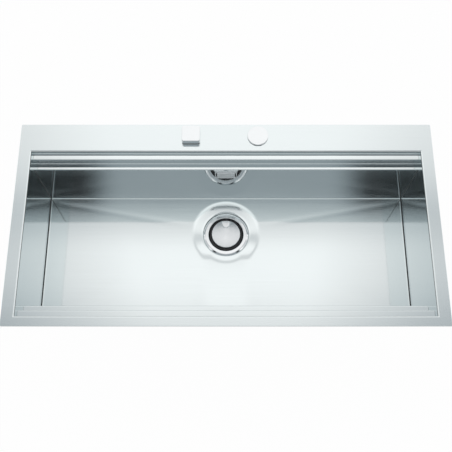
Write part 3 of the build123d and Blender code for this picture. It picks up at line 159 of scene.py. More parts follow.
class Graph:
    """The nodes of one material or world."""

    def __init__(self, owner):
        owner.use_nodes = True
        self.owner = owner
        self.tree = owner.node_tree
        self.tree.nodes.clear()

    def add(self, kind, settings=None, sockets=None, output=0):
        """Add a node of a type, set its settings, then its socket values or links, and give one output."""
        node = self.tree.nodes.new(kind)
        for name, value in (settings or {}).items():
            setattr(node, name, value)
        for key, value in (sockets or {}).items():
            if isinstance(value, Wire):
                self.tree.links.new(value.socket, node.inputs[key])
            else:
                node.inputs[key].default_value = value
        return Wire(self, node.outputs[output]) if len(node.outputs) else None

    def math(self, operation, *values):
        return self.add("ShaderNodeMath", {"operation": operation}, dict(enumerate(values)))

    def smooth(self, value, low, high, start=0.0, end=1.0):
        """Ease from start to end while the value goes from low to high."""
        limits = {0: value, 1: low, 2: high, 3: start, 4: end}
        return self.add("ShaderNodeMapRange", {"interpolation_type": "SMOOTHSTEP"}, limits)

    def blend(self, share, first, second):
        """Mix two colours."""
        return self.add("ShaderNodeMix", {"data_type": "RGBA"}, {0: share, 6: first, 7: second}, 2)

    def place(self, scale=(1, 1, 1), middle=(0, 0, 0)):
        """Object coordinates, moved to a middle, then scaled."""
        coordinates = self.add("ShaderNodeTexCoord", output=3)
        sockets = {0: coordinates, 1: middle}
        centred = self.add("ShaderNodeVectorMath", {"operation": "SUBTRACT"}, sockets)
        return self.add("ShaderNodeMapping", None, {0: centred, 3: scale})

    def part(self, vector, axis):
        """One part of a vector: 0, 1 or 2 for X, Y or Z."""
        return self.add("ShaderNodeSeparateXYZ", None, {0: vector}, axis)

    def noise(self, scale, detail=2.0, rough=0.5, where=None):
        sockets = {"Vector": where or self.place(), "Scale": scale, "Detail": detail, "Roughness": rough}
        return self.add("ShaderNodeTexNoise", None, sockets)

    def bump(self, height, strength, distance):
        sockets = {"Strength": strength, "Distance": distance, "Height": height}
        return self.add("ShaderNodeBump", None, sockets)

    def close(self, **sockets):
        """Feed the main shader and the output, and give the material."""
        values = {name.replace("_", " "): value for name, value in sockets.items()}
        shader = self.add("ShaderNodeBsdfPrincipled", None, values)
        self.add("ShaderNodeOutputMaterial", None, {"Surface": shader})
        return self.owner


def shade(colour, share, extra=0.0):
    """A colour made darker or lighter."""
    return tuple(min(1.0, share * part + extra) for part in colour[:3]) + (1.0,)


def steel_sheet(name, colour, roughness, along, grain, shaded_edge_height=None, outside=None):
    """Satin sheet steel: fine brushing along one axis over a cloudy, slightly handled surface.

    The brushing is noise squeezed to long streaks, which moves roughness and tone, and whose slopes across
    the grain spread the gloss. Below the edge height, where the sheet turns down, it is duller and painted
    darker:
    painted shade on the rim's lip. The outside is darker and duller too: what lies further than a reach
    from a middle along an axis, below a top.
    """
    graph = Graph(bpy.data.materials.new(name))
    fine, coarse = (
        tuple(scales[axis != along] for axis in "XYZ") for scales in (HAIR_SCALES, STREAK_SCALES))
    hairs = graph.noise(1.0, 1.0, where=graph.place(fine))
    streaks = graph.noise(1.0, 3.0, 0.6, where=graph.place(coarse))
    clouds = graph.noise(5.0, 3.0)
    tone = 0.55 * streaks + 0.45 * clouds
    colours = graph.blend(graph.smooth(tone, 0.3, 0.7), shade(colour, 0.975), colour)
    dulling = roughness + 0.03 * (streaks - 0.5) + 0.03 * (clouds - 0.5)
    if shaded_edge_height is not None:
        height = graph.part(graph.place(), 2)
        # painted shade: below this height the turned-down edge is drawn darker, standing in for the shadow
        # on the rim's lip
        turned = graph.smooth(height, shaded_edge_height - 0.0008, shaded_edge_height + 0.0004, 1.0, 0.0)
        colours = graph.blend(turned, colours, shade(colour, 0.35))
        dulling = dulling + 0.12 * turned
    if outside is not None:
        axis, middle, reach, top = outside
        place, height = (graph.part(graph.place(), part) for part in (axis, 2))
        outer = graph.smooth(abs(place - middle), reach - 0.0002, reach + 0.0002)
        outer = outer * graph.smooth(height, top - 0.0004, top + 0.0004, 1.0, 0.0)
        colours = graph.blend(outer, colours, shade(colour, 0.6))
        dulling = dulling + 0.35 * outer
    return graph.close(
        Base_Color=colours,
        Metallic=1.0,
        Roughness=dulling,
        Normal=graph.bump(hairs, 1.0, grain),
    )


def polished_steel(name, colour, roughness):
    """Bright polished steel with faint wiping marks."""
    graph = Graph(bpy.data.materials.new(name))
    wipes = graph.noise(1.0, 3.0, 0.6, where=graph.place((120.0, 260.0, 260.0)))
    film = graph.noise(30.0, 3.0)
    return graph.close(
        Base_Color=graph.blend(film, shade(colour, 0.95), colour),
        Metallic=1.0,
        Roughness=roughness + 0.05 * film * wipes,
        Normal=graph.bump(wipes, 0.03, 0.0001),
    )


def turned_steel(name, colour, roughness, middle):
    """Steel brushed on a lathe: streaks that depend on the distance from the cap's axis.

    The distance is measured level, so the rings follow the cap, and the shader stretches its gloss.
    """
    graph = Graph(bpy.data.materials.new(name))
    flat = graph.place((1, 1, 0), middle)
    distance = graph.add("ShaderNodeVectorMath", {"operation": "LENGTH"}, {0: flat}, 1)
    sockets = {"W": distance * 900.0, "Scale": 1.0, "Detail": 3.0}
    rings = graph.add("ShaderNodeTexNoise", {"noise_dimensions": "1D"}, sockets)
    patches = graph.noise(60.0, 2.0)
    return graph.close(
        Base_Color=graph.blend(rings, shade(colour, 0.9), colour),
        Metallic=1.0,
        Roughness=roughness + 0.08 * (rings - 0.5) + 0.04 * (patches - 0.5),
        Anisotropic=0.75,
        Normal=graph.bump(rings, 0.08, 0.0001),
    )


def plated_metal(name, colour, roughness, mottle):
    """Plated or cast metal: a mottled colour with a grain that also roughens it."""
    graph = Graph(bpy.data.materials.new(name))
    crystals = graph.add("ShaderNodeTexVoronoi", None, {"Vector": graph.place(), "Scale": 420.0})
    dulling = graph.noise(90.0, 4.0)
    return graph.close(
        Base_Color=graph.blend(0.5 * crystals + 0.5 * dulling, shade(colour, 1.0 - mottle), colour),
        Metallic=1.0,
        Roughness=roughness + 0.2 * (dulling - 0.5),
        Normal=graph.bump(dulling, 0.1, 0.0002),
    )


def moulded_plastic(name, colour, roughness, grain):
    """Injection-moulded plastic: an etched grain, with a slightly uneven gloss."""
    graph = Graph(bpy.data.materials.new(name))
    etched = graph.noise(grain, 2.0, 0.6)
    flow = graph.noise(3.0, 3.0, where=graph.place((4.0, 4.0, 20.0)))
    return graph.close(
        Base_Color=graph.blend(graph.smooth(flow, 0.3, 0.7), colour, shade(colour, 1.25, 0.004)),
        Roughness=roughness + 0.12 * (flow - 0.5) + 0.08 * (etched - 0.5),
        Normal=graph.bump(etched, 0.15, 0.0002),
    )


def soft_rubber(name, colour, roughness):
    """Matt rubber with a bloom of lighter dust."""
    graph = Graph(bpy.data.materials.new(name))
    bloom = graph.noise(140.0, 4.0, 0.65)
    return graph.close(
        Base_Color=graph.blend(graph.smooth(bloom, 0.45, 0.75), colour, shade(colour, 1.0, 0.03)),
        Roughness=roughness + 0.1 * (bloom - 0.5),
        Normal=graph.bump(bloom, 0.2, 0.0003),
    )


def foam_strip(name, colour):
    """Closed-cell foam: small cells pressed into the surface, with painted shade in their pits."""
    graph = Graph(bpy.data.materials.new(name))
    cells = graph.add("ShaderNodeTexVoronoi", None, {"Vector": graph.place(), "Scale": 700.0})
    patches = graph.noise(60.0, 3.0)
    return graph.close(
        # painted shade: the cells' pits are drawn darker than the ridges between them
        Base_Color=graph.blend(graph.smooth(cells, 0.05, 0.6), shade(colour, 0.7), colour),
        Roughness=0.9 + 0.08 * (patches - 0.5),
        Normal=graph.bump(cells, 0.5, 0.0006),
    )


def damping_sheet(name, colour):
    """Heavy damping sheet: a pressed waffle of small squares over a coarse, mottled surface, with painted
    shade in the waffle's grooves.

    The waffle is the smallest of three waves along the axes, so it shows on a floor pad and on an end pad.
    """
    graph = Graph(bpy.data.materials.new(name))
    half, land = 0.005, 0.15
    places = [graph.part(graph.place(), axis) for axis in range(3)]
    waves = [graph.math("PINGPONG", place, half) / half + land for place in places]
    waffle = graph.math("MINIMUM", graph.math("MINIMUM", waves[0], waves[1]), waves[2])
    grit = graph.noise(400.0, 4.0, 0.7)
    return graph.close(
        # painted shade: the waffle's grooves are drawn darker than its squares; the grit over both is
        # random tone
        Base_Color=graph.blend(
            graph.smooth(waffle, 0.1, 0.4) * 0.7 + 0.3 * grit, shade(colour, 0.72), colour),
        Roughness=0.75 + 0.2 * (grit - 0.5),
        Normal=graph.bump(graph.smooth(waffle, 0.05, 0.5) + 0.2 * grit, 0.4, 0.0008),
    )


def grid_faces(rows, columns, ring=False):
    """Quads between neighbouring points of a grid; a ring also joins the last column to the first."""
    index = np.arange(rows * columns).reshape(rows, columns)
    if ring:
        index = np.hstack((index, index[:, :1]))
    corners = (index[:-1, :-1], index[:-1, 1:], index[1:, 1:], index[1:, :-1])
    return np.stack(corners, -1).reshape(-1, 4)


def repeat_faces(faces, points, times):
    """The faces of a surface with some points, again for each of its copies."""
    return (faces + points * np.arange(times)[:, None, None]).reshape(-1, faces.shape[1])


def smooth_low(first, second, width):
    """The lower of two heights, with the corner between them rounded over a width."""
    share = np.clip(0.5 + 0.5 * (second - first) / width, 0.0, 1.0)
    return second + (first - second) * share - width * share * (1.0 - share)


def smooth_high(first, second, width):
    """The higher of two heights, with the corner between them rounded over a width."""
    return -smooth_low(-first, -second, width)


def make_piece(name, points, faces, look, body, replaced=()):
    """Make an object of a surface, close its seams and poles, and let it ride a body of the model."""
    used, faces = np.unique(faces, return_inverse=True)
    mesh = bpy.data.meshes.new(name)
    mesh.from_pydata(points.reshape(-1, 3)[used], [], faces.reshape(-1, 4))
    work = bmesh.new()
    work.from_mesh(mesh)
    bmesh.ops.remove_doubles(work, verts=work.verts, dist=CLOSE)
    work.to_mesh(mesh)
    work.free()
    mesh.shade_smooth()
    mesh.set_sharp_from_angle(angle=SHARP)
    mesh.materials.append(finish(look))
    piece = bpy.data.objects.new(name, mesh)
    bpy.context.scene.collection.objects.link(piece)
    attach(piece, body)
    if replaced:
        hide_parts(*replaced)
    return piece


def read_rows(items, name):
    """A value of three parts for each vertex or face of a mesh, one in a row."""
    values = np.empty(3 * len(items))
    items.foreach_get(name, values)
    return values.reshape(-1, 3)


class SinkFinishes(bpy.types.PropertyGroup):
    """Colours and gloss of the sink's materials."""

    steel_colour: Colour(
        name="Steel", description="Colour of the sheet steel", default=(0.83, 0.88, 0.885, 1.0))
    polish_colour: Colour(
        name="Polished steel", description="Colour of the polished fittings",
        default=(0.88, 0.90, 0.91, 1.0))
    zinc_colour: Colour(
        name="Zinc plating", description="Colour of the plated rails, clips and nuts",
        default=(0.58, 0.60, 0.62, 1.0))
    brass_colour: Colour(
        name="Brass", description="Colour of the control's bush and nut", default=(0.72, 0.55, 0.27, 1.0))
    black_colour: Colour(
        name="Black plastic", description="Colour of the basket, lever and housings",
        default=(0.012, 0.012, 0.014, 1.0))
    grey_colour: Colour(
        name="Grey plastic", description="Colour of the waste body and overflow pipe",
        default=(0.42, 0.43, 0.44, 1.0))
    rubber_colour: Colour(
        name="Rubber", description="Colour of the seals and gaskets", default=(0.015, 0.015, 0.016, 1.0))
    foam_colour: Colour(
        name="Foam", description="Colour of the seal under the rim", default=(0.09, 0.09, 0.095, 1.0))
    pad_colour: Colour(
        name="Damping pads", description="Colour of the sound pads", default=(0.10, 0.10, 0.105, 1.0))
    # painted light: the end walls' steel is a lighter copy of the sheet steel, standing in for the light
    # they catch
    end_walls_lit_colour: Colour(
        name="End walls", description="Colour of the two end walls' steel",
        default=(0.88, 0.93, 0.935, 1.0))
    satin_roughness: Factor(name="Satin", description="Roughness of the rim", default=0.13)
    floor_roughness: Factor(name="Floor satin", description="Roughness of the floor", default=0.068)
    wall_roughness: Factor(name="Wall satin", description="Roughness of the walls", default=0.06)
    floor_grain: Length(name="Floor grain", description="Depth of the floor's brushing", default=0.000006)
    wall_grain: Length(name="Wall grain", description="Depth of the long walls' brushing", default=0.000005)
    fine_grain: Length(name="Fine grain", description="Depth of the brushing elsewhere", default=0.000004)
    # painted shade starts at this depth: the rim's turned-down edge below it is drawn darker
    shaded_edge_depth: Length(
        name="Edge", description="Depth below the rim's top at which its turned-down edge starts",
        default=0.0012)
    polish_roughness: Factor(name="Polish", description="Roughness of the polished fittings", default=0.06)


class SinkPressings(bpy.types.PropertyGroup):
    """Sizes of the pressed floor and of the corners."""

    sheet: Length(name="Sheet", description="Thickness of the steel", default=0.0012)
    bowl_depth: Length(
        name="Bowl depth", description="Depth of the floor's margin below the rim's top", default=0.220)
    ledge_depth: Length(
        name="Ledge depth", description="Depth below the rim's top at which the corner beads end",
        default=0.038)
    floor_fold: Length(
        name="Floor fold", description="Radius between the floor and the walls", default=0.0008)
    floor_margin: Length(name="Floor margin", description="Level strip round the floor", default=0.014)
    floor_fall: Length(
        name="Floor fall", description="Drop from the margin to the level patch round the dish",
        default=0.00015)
    flat_width: Length(name="Patch width", description="Width of the level patch", default=0.190)
    flat_ahead: Length(
        name="Patch ahead", description="Level patch in front of the drain's middle", default=0.050)
    flat_behind: Length(
        name="Patch behind", description="Level patch behind the drain's middle", default=0.022)
    crease_depth: Length(
        name="Crease depth", description="Depth of the pressed diagonal creases", default=0.00003)
    dish_radius: Length(name="Dish radius", description="Outside of the dish's rim", default=0.087)
    dish_rim: Length(name="Dish rim", description="Width of the dish's sloping rim", default=0.026)
    dish_depth: Length(
        name="Dish depth", description="Depth of the dish below the level patch", default=0.00285)
    under_fall: Length(
        name="Underside fall", description="Drop of the underside, which follows the glued sound pads",
        default=0.004)
    seat_radius: Length(
        name="Seat radius", description="Where the dish steps down to the seat of the drain flange",
        default=0.061)
    seat_depth: Length(
        name="Seat depth", description="Depth of the flange seat below the dish", default=0.004)
    channel_depth: Length(
        name="Channel depth", description="Depth of the channel where it leaves the dish", default=0.002)
    channel_width: Length(
        name="Channel width", description="Width of the channel from the dish to the front", default=0.131)
    hole_radius: Length(name="Drain hole", description="Radius of the hole for the waste", default=0.0465)
    corner_radius: Length(
        name="Corner bead", description="Radius of the ground weld in the upright corners", default=0.001)
    seam_radius: Length(
        name="Floor seam", description="Radius of the weld between the floor and the end walls",
        default=0.0019)


class SinkThreads(bpy.types.PropertyGroup):
    """Sizes and places of the threads."""

    outlet_radius: Length(
        name="Outlet", description="Radius of the waste's threaded outlet", default=0.0239)
    outlet_length: Length(name="Outlet length", description="Length of the outlet's thread", default=0.036)
    outlet_pitch: Length(
        name="Outlet pitch", description="Rise of the outlet's thread in one turn", default=0.00231)
    clip_screw_radius: Length(name="Clip screws", description="Radius of the clip screws", default=0.0025)
    clip_sheet: Length(name="Clip sheet", description="Thickness of the clips", default=0.0015)
    end_screw_inset: Length(
        name="Screw inset", description="Distance of the clip screws from the rim's edge", default=0.0233)

    def screw_places(self):
        """Middles of the clip screws: four beside the end walls, four behind and three in front."""
        across = CAD_HIGH[0] - self.end_screw_inset
        along = CAD_HIGH[1] - self.end_screw_inset
        ends = [(side * across, y, 0.0) for side in (-1, 1) for y in END_CLIPS]
        behind = [(x, along, 0.0) for x in BACK_CLIPS]
        ahead = [(x, -along, 0.0) for x in FRONT_CLIPS]
        return ends + behind + ahead


class SinkStudio(bpy.types.PropertyGroup):
    """Camera, floor and light."""

    camera_place: FloatVectorProperty(
        name="Camera", description="Where the camera stands", subtype="TRANSLATION", unit="LENGTH", size=3,
        default=(0.0, -0.5746, 1.5254))
    camera_pitch: FloatProperty(
        name="Pitch", description="Camera's turn up from straight down", subtype="ANGLE", unit="ROTATION",
        default=radians(20.2))
    camera_lens: FloatProperty(
        name="Lens", description="Focal length on a 36 mm sensor", unit="CAMERA", default=55.69)
    floor_gap: Length(
        name="Floor gap", description="Studio floor below the sink's lowest point", default=0.002)
    top_light: FloatProperty(
        name="Top light", description="Brightness of the large light above and behind", default=1.1,
        min=0.0)
    front_light: FloatProperty(
        name="Front light", description="Brightness of the middle of the dark front", default=0.38, min=0.0)
    flag_light: FloatProperty(
        name="Flags", description="Brightness of the dark flags beside it", default=0.004, min=0.0)
    wall_light: FloatProperty(
        name="Walls", description="Brightness of the studio's pale walls near the horizon", default=0.97,
        min=0.0)


def finish(name):
    """The finish of a name, made when it is first asked for."""
    made = bpy.data.materials.get(name)
    if made:
        return made
    looks = bpy.context.scene.sink_finishes
    steel, bright = tuple(looks.steel_colour), tuple(looks.polish_colour)
    low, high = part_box("strainer_cap")
    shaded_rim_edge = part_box("deck_frame")[1][2] - looks.shaded_edge_depth
    pressings = bpy.context.scene.sink_pressings
    back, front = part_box("back_wall")[0][1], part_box("front_wall")[1][1]
    middle, reach = (back + front) / 2, (back - front + pressings.sheet) / 2
    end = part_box("right_end_wall")[0][0] + pressings.sheet / 2
    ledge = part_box("deck_frame")[1][2] - pressings.ledge_depth
    recipes = {
        # satin_rim carries painted shade on its turned-down edge
        "satin_rim": (steel_sheet, steel, looks.satin_roughness, "X", looks.fine_grain, shaded_rim_edge),
        "satin_long_walls": (
            steel_sheet, steel, looks.wall_roughness, "X", looks.wall_grain, None,
            (1, middle, reach, ledge)),
        # painted light: a lighter copy of the sheet steel for the end walls and the floor's upright ends
        "satin_end_walls": (
            steel_sheet, tuple(looks.end_walls_lit_colour), looks.wall_roughness, "Y", looks.fine_grain, None,
            (0, 0.0, end, 1.0)),
        "dull_outside": (steel_sheet, shade(steel, 0.6), 0.4, "X", looks.fine_grain),
        "satin_floor": (steel_sheet, steel, looks.floor_roughness, "X", looks.floor_grain),
        "satin_plate": (steel_sheet, bright, 0.5, "X", looks.fine_grain),
        # painted shade: near-black steel for the corner beads, standing in for the shade in the corners
        "seam_steel": (steel_sheet, shade(steel, 0.12), 0.45, "Y", looks.fine_grain),
        "polished_fittings": (polished_steel, bright, looks.polish_roughness),
        "turned_cap": (turned_steel, bright, 0.22, tuple((low + high) / 2)),
        "bright_bars": (plated_metal, bright, 0.25, 0.12),
        "zinc_plating": (plated_metal, tuple(looks.zinc_colour), 0.38, 0.25),
        "cast_brass": (plated_metal, tuple(looks.brass_colour), 0.3, 0.3),
        "black_mouldings": (moulded_plastic, tuple(looks.black_colour), 0.42, 900.0),
        "grey_mouldings": (moulded_plastic, tuple(looks.grey_colour), 0.45, 700.0),
        "rubber_seals": (soft_rubber, tuple(looks.rubber_colour), 0.7),
        "rim_foam": (foam_strip, tuple(looks.foam_colour)),
        "damping_pads": (damping_sheet, tuple(looks.pad_colour)),
    }
    maker, *values = recipes[name]
    return maker(name, *values)


def coat(name, *nodes):
    """Give CAD nodes a finish in place of their packed one."""
    for node in nodes:
        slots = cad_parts[node].material_slots
        for slot in slots:
            slot.material = finish(name)
        if not len(slots):
            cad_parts[node].data.materials.append(finish(name))


def floor_planes(x, y, limits, sizes):
    """Slopes of the floor from each side, the highest last: 0 at the level patch and 1 at the margin."""
    end, front, back, middle = limits
    across = end - sizes.floor_margin - sizes.flat_width / 2
    ahead = middle - sizes.flat_ahead - front - sizes.floor_margin
    behind = back - sizes.floor_margin - middle - sizes.flat_behind
    return np.sort(np.stack((
        (np.abs(x) - sizes.flat_width / 2) / across,
        (middle - sizes.flat_ahead - y) / ahead,
        (y - middle - sizes.flat_behind) / behind,
    )), 0)


def floor_height(x, y, limits, sizes):
    """Height of the pressed floor above its margin, for grids of x and y.

    Four planes fall from the margin to a level patch, and the highest of them counts, so they meet in four
    diagonal creases; a shallow groove lies where the two highest are close. A round dish, whose rim is a
    shallow cone, and a channel from it to the front edge cut lower, each corner rounded. Round the drain
    the dish steps down to the flange's seat.
    """
    _, front, _, middle = limits
    bend, dish_bend, channel_bend, rim_bend = 0.00002, 0.0006, 0.0012, 0.0005
    crease_start, crease_half, side_bend = 0.15, 0.12, 0.2  # as shares
    planes = sizes.floor_fall * floor_planes(x, y, limits, sizes)
    highest = smooth_high(planes[2], planes[1], bend)
    pressed = np.clip(highest / (crease_start * sizes.floor_fall), 0.0, 1.0)
    apart = (planes[2] - planes[1]) / (crease_half * sizes.floor_fall)
    crease = pressed * np.exp(-apart ** 2)
    fall = smooth_high(np.minimum(highest, sizes.floor_fall), 0.0 * x, bend) - sizes.floor_fall
    fall = fall - sizes.crease_depth * crease
    out = np.hypot(x, y - middle)
    rise = (out - sizes.dish_radius + sizes.dish_rim) / sizes.dish_rim
    deep = -sizes.floor_fall - sizes.dish_depth
    dish = smooth_high(deep + 0.0 * out, deep + sizes.dish_depth * rise, dish_bend)
    start = middle - sizes.dish_radius + sizes.dish_rim
    run = np.clip((start - y) / (start - front - sizes.floor_margin), 0.0, 1.0)
    edge = (np.abs(x) - sizes.channel_width / 2 + sizes.dish_rim) / sizes.dish_rim
    channel = -sizes.channel_depth * (1.0 - run) * (1.0 - smooth_high(0.0 * x, edge, side_bend))
    channel = np.where(y < middle, channel, 1.0)
    seat = np.clip((sizes.seat_radius - out) / SEAT_SLOPE, 0.0, 1.0)
    seat = sizes.seat_depth * seat * seat * (3.0 - 2.0 * seat)
    return smooth_low(fall, smooth_low(dish, channel, channel_bend), rim_bend) - seat


def fold_up(inner, low, high, radius, top):
    """Places across a pan, with their lift: flat inside, a quarter circle and an upright edge at both ends.

    A row close to the top and one just above the fold keep the upright edge's shading flat.
    """
    close_to_top, above_fold = 0.0003, 1.3
    angle = np.linspace(0.0, pi / 2, 7)
    near = np.concatenate(((0.0, 0.0, 0.0), radius - radius * np.cos(angle)))
    up = np.concatenate(((top, top - close_to_top, above_fold * radius), radius - radius * np.sin(angle)))
    places = np.concatenate((low + near, inner, high - near[::-1]))
    return places, np.concatenate((up, 0.0 * inner, up[::-1]))


class SINK_OT_press_floor(bpy.types.Operator):
    """Press the floor: four creased planes, a round dish, a channel to the front and the drain hole"""

    bl_idname = "sink.press_floor"
    bl_label = "Press the floor"

    def execute(self, context):
        """Carry floor_height over a grid that folds up at all four sides, with rings round the drain hole.

        The underside falls more than the top, as the sound pads do, so the sheet's thickness varies.
        """
        sizes = context.scene.sink_pressings
        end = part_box("right_end_wall")[0][0]
        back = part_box("back_wall")[0][1]
        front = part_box("front_wall")[1][1]
        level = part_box("deck_frame")[1][2] - sizes.bowl_depth
        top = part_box("floor_pan")[1][2] - level
        drain = (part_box("waste_flange")[0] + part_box("waste_flange")[1]) / 2
        fold = sizes.floor_fold
        fine = FINE_STEP * np.arange(-FINE_COLUMNS, FINE_COLUMNS + 1)
        coarse = np.linspace(fine[-1], end - fold, COARSE_COLUMNS)[1:-1]
        inner = np.concatenate((-coarse[::-1], fine, coarse))
        columns, column_lift = fold_up(inner, -end, end, fold, top)
        nearest = np.ceil((front + fold - drain[1]) / ROW_STEP)
        inner = drain[1] + ROW_STEP * np.arange(nearest, (back - fold - drain[1]) / ROW_STEP)
        rows, row_lift = fold_up(inner, front, back, fold, top)
        x, y = np.meshgrid(columns, rows)
        limits = (end, front, back, drain[1])
        lift = np.maximum(row_lift[:, None], column_lift)
        z = level + floor_height(x, y, limits, sizes) * (1.0 - lift / top) + lift
        points = np.stack((x, y, z), -1)
        faces = grid_faces(len(rows), len(columns))
        both = np.array((-1.0, 1.0))
        left, right = np.searchsorted(columns, FINE_STEP * SQUARE_COLUMNS * both - CLOSE)
        lower, upper = np.searchsorted(rows, drain[1] + ROW_STEP * SQUARE_ROWS * both - CLOSE)
        row, column = np.divmod(faces[:, 0], len(columns))
        inside = (row >= lower) & (row < upper) & (column >= left) & (column < right)
        edge = np.concatenate((
            points[lower, left:right], points[lower:upper, right],
            points[upper, right:left:-1], points[upper:lower:-1, left]))
        turn = np.arctan2(edge[:, 1] - drain[1], edge[:, 0])
        seat = sizes.seat_radius + SEAT_RING_STEP * np.arange(1, -7, -1)
        radii = np.concatenate((OUTER_RINGS, seat, (HIDDEN_RING, sizes.hole_radius)))
        around = drain[:2] + radii[:, None, None] * np.stack((np.cos(turn), np.sin(turn)), -1)
        share = np.linspace(1.0, 0.0, BLEND_ROWS + 2)[1:-1, None, None]
        around = np.concatenate((edge[:, :2] * share + around[0] * (1.0 - share), around))
        height = level + floor_height(around[..., 0], around[..., 1], limits, sizes)
        collar = np.concatenate((edge[None], np.concatenate((around, height[..., None]), -1)))
        ring = grid_faces(len(collar), len(edge), True)
        points = np.concatenate((points.reshape(-1, 3), collar.reshape(-1, 3)))
        faces = np.concatenate((faces[~inside], ring + len(rows) * len(columns)))
        floor = make_piece(
            "pressed_floor", points, faces, "satin_floor", "sink", ("floor_pan",))
        mesh = floor.data
        mesh.materials.append(finish("satin_long_walls"))
        # the floor's upright ends take the end walls' painted light
        mesh.materials.append(finish("satin_end_walls"))
        upright = 0.7
        facing = np.abs(read_rows(mesh.polygons, "normal")) > upright
        mesh.polygons.foreach_set("material_index", facing[:, 1] + 2 * facing[:, 0])
        x, y, z = read_rows(mesh.vertices, "co").T
        slope = np.clip(floor_planes(x, y, limits, sizes)[2], 0.0, 1.0)
        drop = np.where(z > level, 0.0, z - level + sizes.under_fall * (1.0 - slope))
        depth = sizes.sheet + np.maximum(drop, 0.0)
        steps = np.round(SHEET_STEPS * depth / depth.max()).astype(int)
        group = floor.vertex_groups.new(name="sheet")
        for number in np.unique(steps):
            group.add(np.flatnonzero(steps == number).tolist(), number / SHEET_STEPS, "REPLACE")
        thick = floor.modifiers.new("sheet", "SOLIDIFY")
        thick.thickness = depth.max()
        thick.vertex_group = group.name
        thick.offset = -1.0
        thick.material_offset = len(mesh.materials)
        for _ in range(3):
            mesh.materials.append(finish("dull_outside"))
        return {"FINISHED"}


class SINK_OT_run_beads(bpy.types.Operator):
    """Run a ground weld bead along each end wall, down the long walls and across the floor"""

    bl_idname = "sink.run_beads"
    bl_label = "Run the corner beads"

    def execute(self, context):
        """Carry a hollow quarter circle along the line where the end walls meet the other sheets.

        The line is straight down the back wall, round its fold, over the floor and up the front wall. The
        circle is wider along the floor than in the upright corners. The bead is near-black steel: painted
        shade in the corner.
        """
        sizes = context.scene.sink_pressings
        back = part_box("back_wall")[0][1]
        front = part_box("front_wall")[1][1]
        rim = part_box("deck_frame")[1][2]
        level = rim - sizes.bowl_depth
        ledge = rim - sizes.ledge_depth
        fold = sizes.floor_fold
        angle = np.linspace(0.0, pi / 2, 9)
        lines = np.concatenate((
            ((back, ledge),),
            np.stack((back - fold + fold * np.cos(angle), level + fold - fold * np.sin(angle)), -1),
            np.stack((front + fold - fold * np.sin(angle), level + fold - fold * np.cos(angle)), -1),
            ((front, ledge),),
        ))
        inward = np.concatenate((
            ((-1.0, 0.0),), np.stack((-np.cos(angle), np.sin(angle)), -1),
            np.stack((np.sin(angle), np.cos(angle)), -1), ((1.0, 0.0),)))
        radius = np.full(len(lines), sizes.seam_radius)
        radius[[0, 1, -2, -1]] = sizes.corner_radius
        sweep = np.linspace(0.0, pi / 2, 9)
        off_wall = radius[:, None] * np.concatenate(((0.0,), 1.0 - np.cos(sweep)))
        off_end = radius[:, None] * np.concatenate(((0.0,), 1.0 - np.sin(sweep)))
        for name, side in (("left", -1.0), ("right", 1.0)):
            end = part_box(name + "_end_wall")[0 if side > 0 else 1][0]
            away = lines[:, None, :] + off_wall[..., None] * inward[:, None, :]
            points = np.concatenate((end - side * off_end[..., None], away), -1)
            tips = np.broadcast_to(points[[0, -1], :1], points[[0, -1]].shape)
            points = np.concatenate((tips[:1], points, tips[1:]))
            faces = grid_faces(*points.shape[:2], ring=True)
            if side > 0:
                faces = faces[:, ::-1]
            # the bead's near-black finish is painted shade
            make_piece(name + "_corner_bead", points, faces, "seam_steel", "sink")
        return {"FINISHED"}


class SINK_OT_turn_cap(bpy.types.Operator):
    """Turn the strainer's cap: a shallow dome with a rounded edge and a thumb notch at its back"""

    bl_idname = "sink.turn_cap"
    bl_label = "Turn the strainer cap"

    def execute(self, context):
        """Spin a profile about the drain's axis: up the edge, round it and over the dome.

        The notch is a slot with a round end: where a point is inside it, the height is held to the notch's
        floor, with sides that rise over a short slope.
        """
        low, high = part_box("strainer_cap")
        middle = (low + high) / 2
        radius = (high[0] - low[0]) / 2
        edge, dome, rounding, foot = 0.0038, 0.0013, 0.0012, 0.0005
        fillet = np.linspace(0.0, pi / 2, 8)
        flat = radius - rounding
        inner = np.linspace(flat, 0.0, 64)[1:]
        out = np.concatenate(((0.0, radius - foot, radius), flat + rounding * np.cos(fillet), inner))
        rise = np.concatenate((
            (0.0, 0.0, foot), edge - rounding + rounding * np.sin(fillet),
            edge + dome * (1.0 - (inner / flat) ** 2)))
        turn = np.linspace(0.0, 2 * pi, 288, endpoint=False)
        x = out[:, None] * np.cos(turn)
        y = out[:, None] * np.sin(turn)
        z = np.broadcast_to(rise[:, None], x.shape)
        half, reach, depth = 0.0105, 0.0195, 0.0020
        steepness, slope_start, bend = 2.2, 0.0008, 0.0003
        below = np.maximum(radius - reach + half - y, 0.0)
        side = np.hypot(x, below) - half
        notch = edge - depth + steepness * np.maximum(side + slope_start, 0.0)
        z = np.where(rise[:, None] > edge - depth, smooth_low(z, notch, bend), z)
        points = np.stack((x + middle[0], y + middle[1], z + low[2]), -1)
        faces = grid_faces(*x.shape, ring=True)
        cap = make_piece(
            "domed_cap", points, faces, "turned_cap", "strainer", ("strainer_cap",))
        cap.data.materials.append(finish("polished_fittings"))
        x, y, z = (read_rows(cap.data.polygons, "center") - np.append(middle[:2], low[2])).T
        below = np.maximum(radius - reach + half - y, 0.0)
        notched = (np.hypot(x, below) < half) & (y > 0.0) & (z > edge - depth - rounding)
        cap.data.polygons.foreach_set("material_index", notched.astype(int))
        return {"FINISHED"}


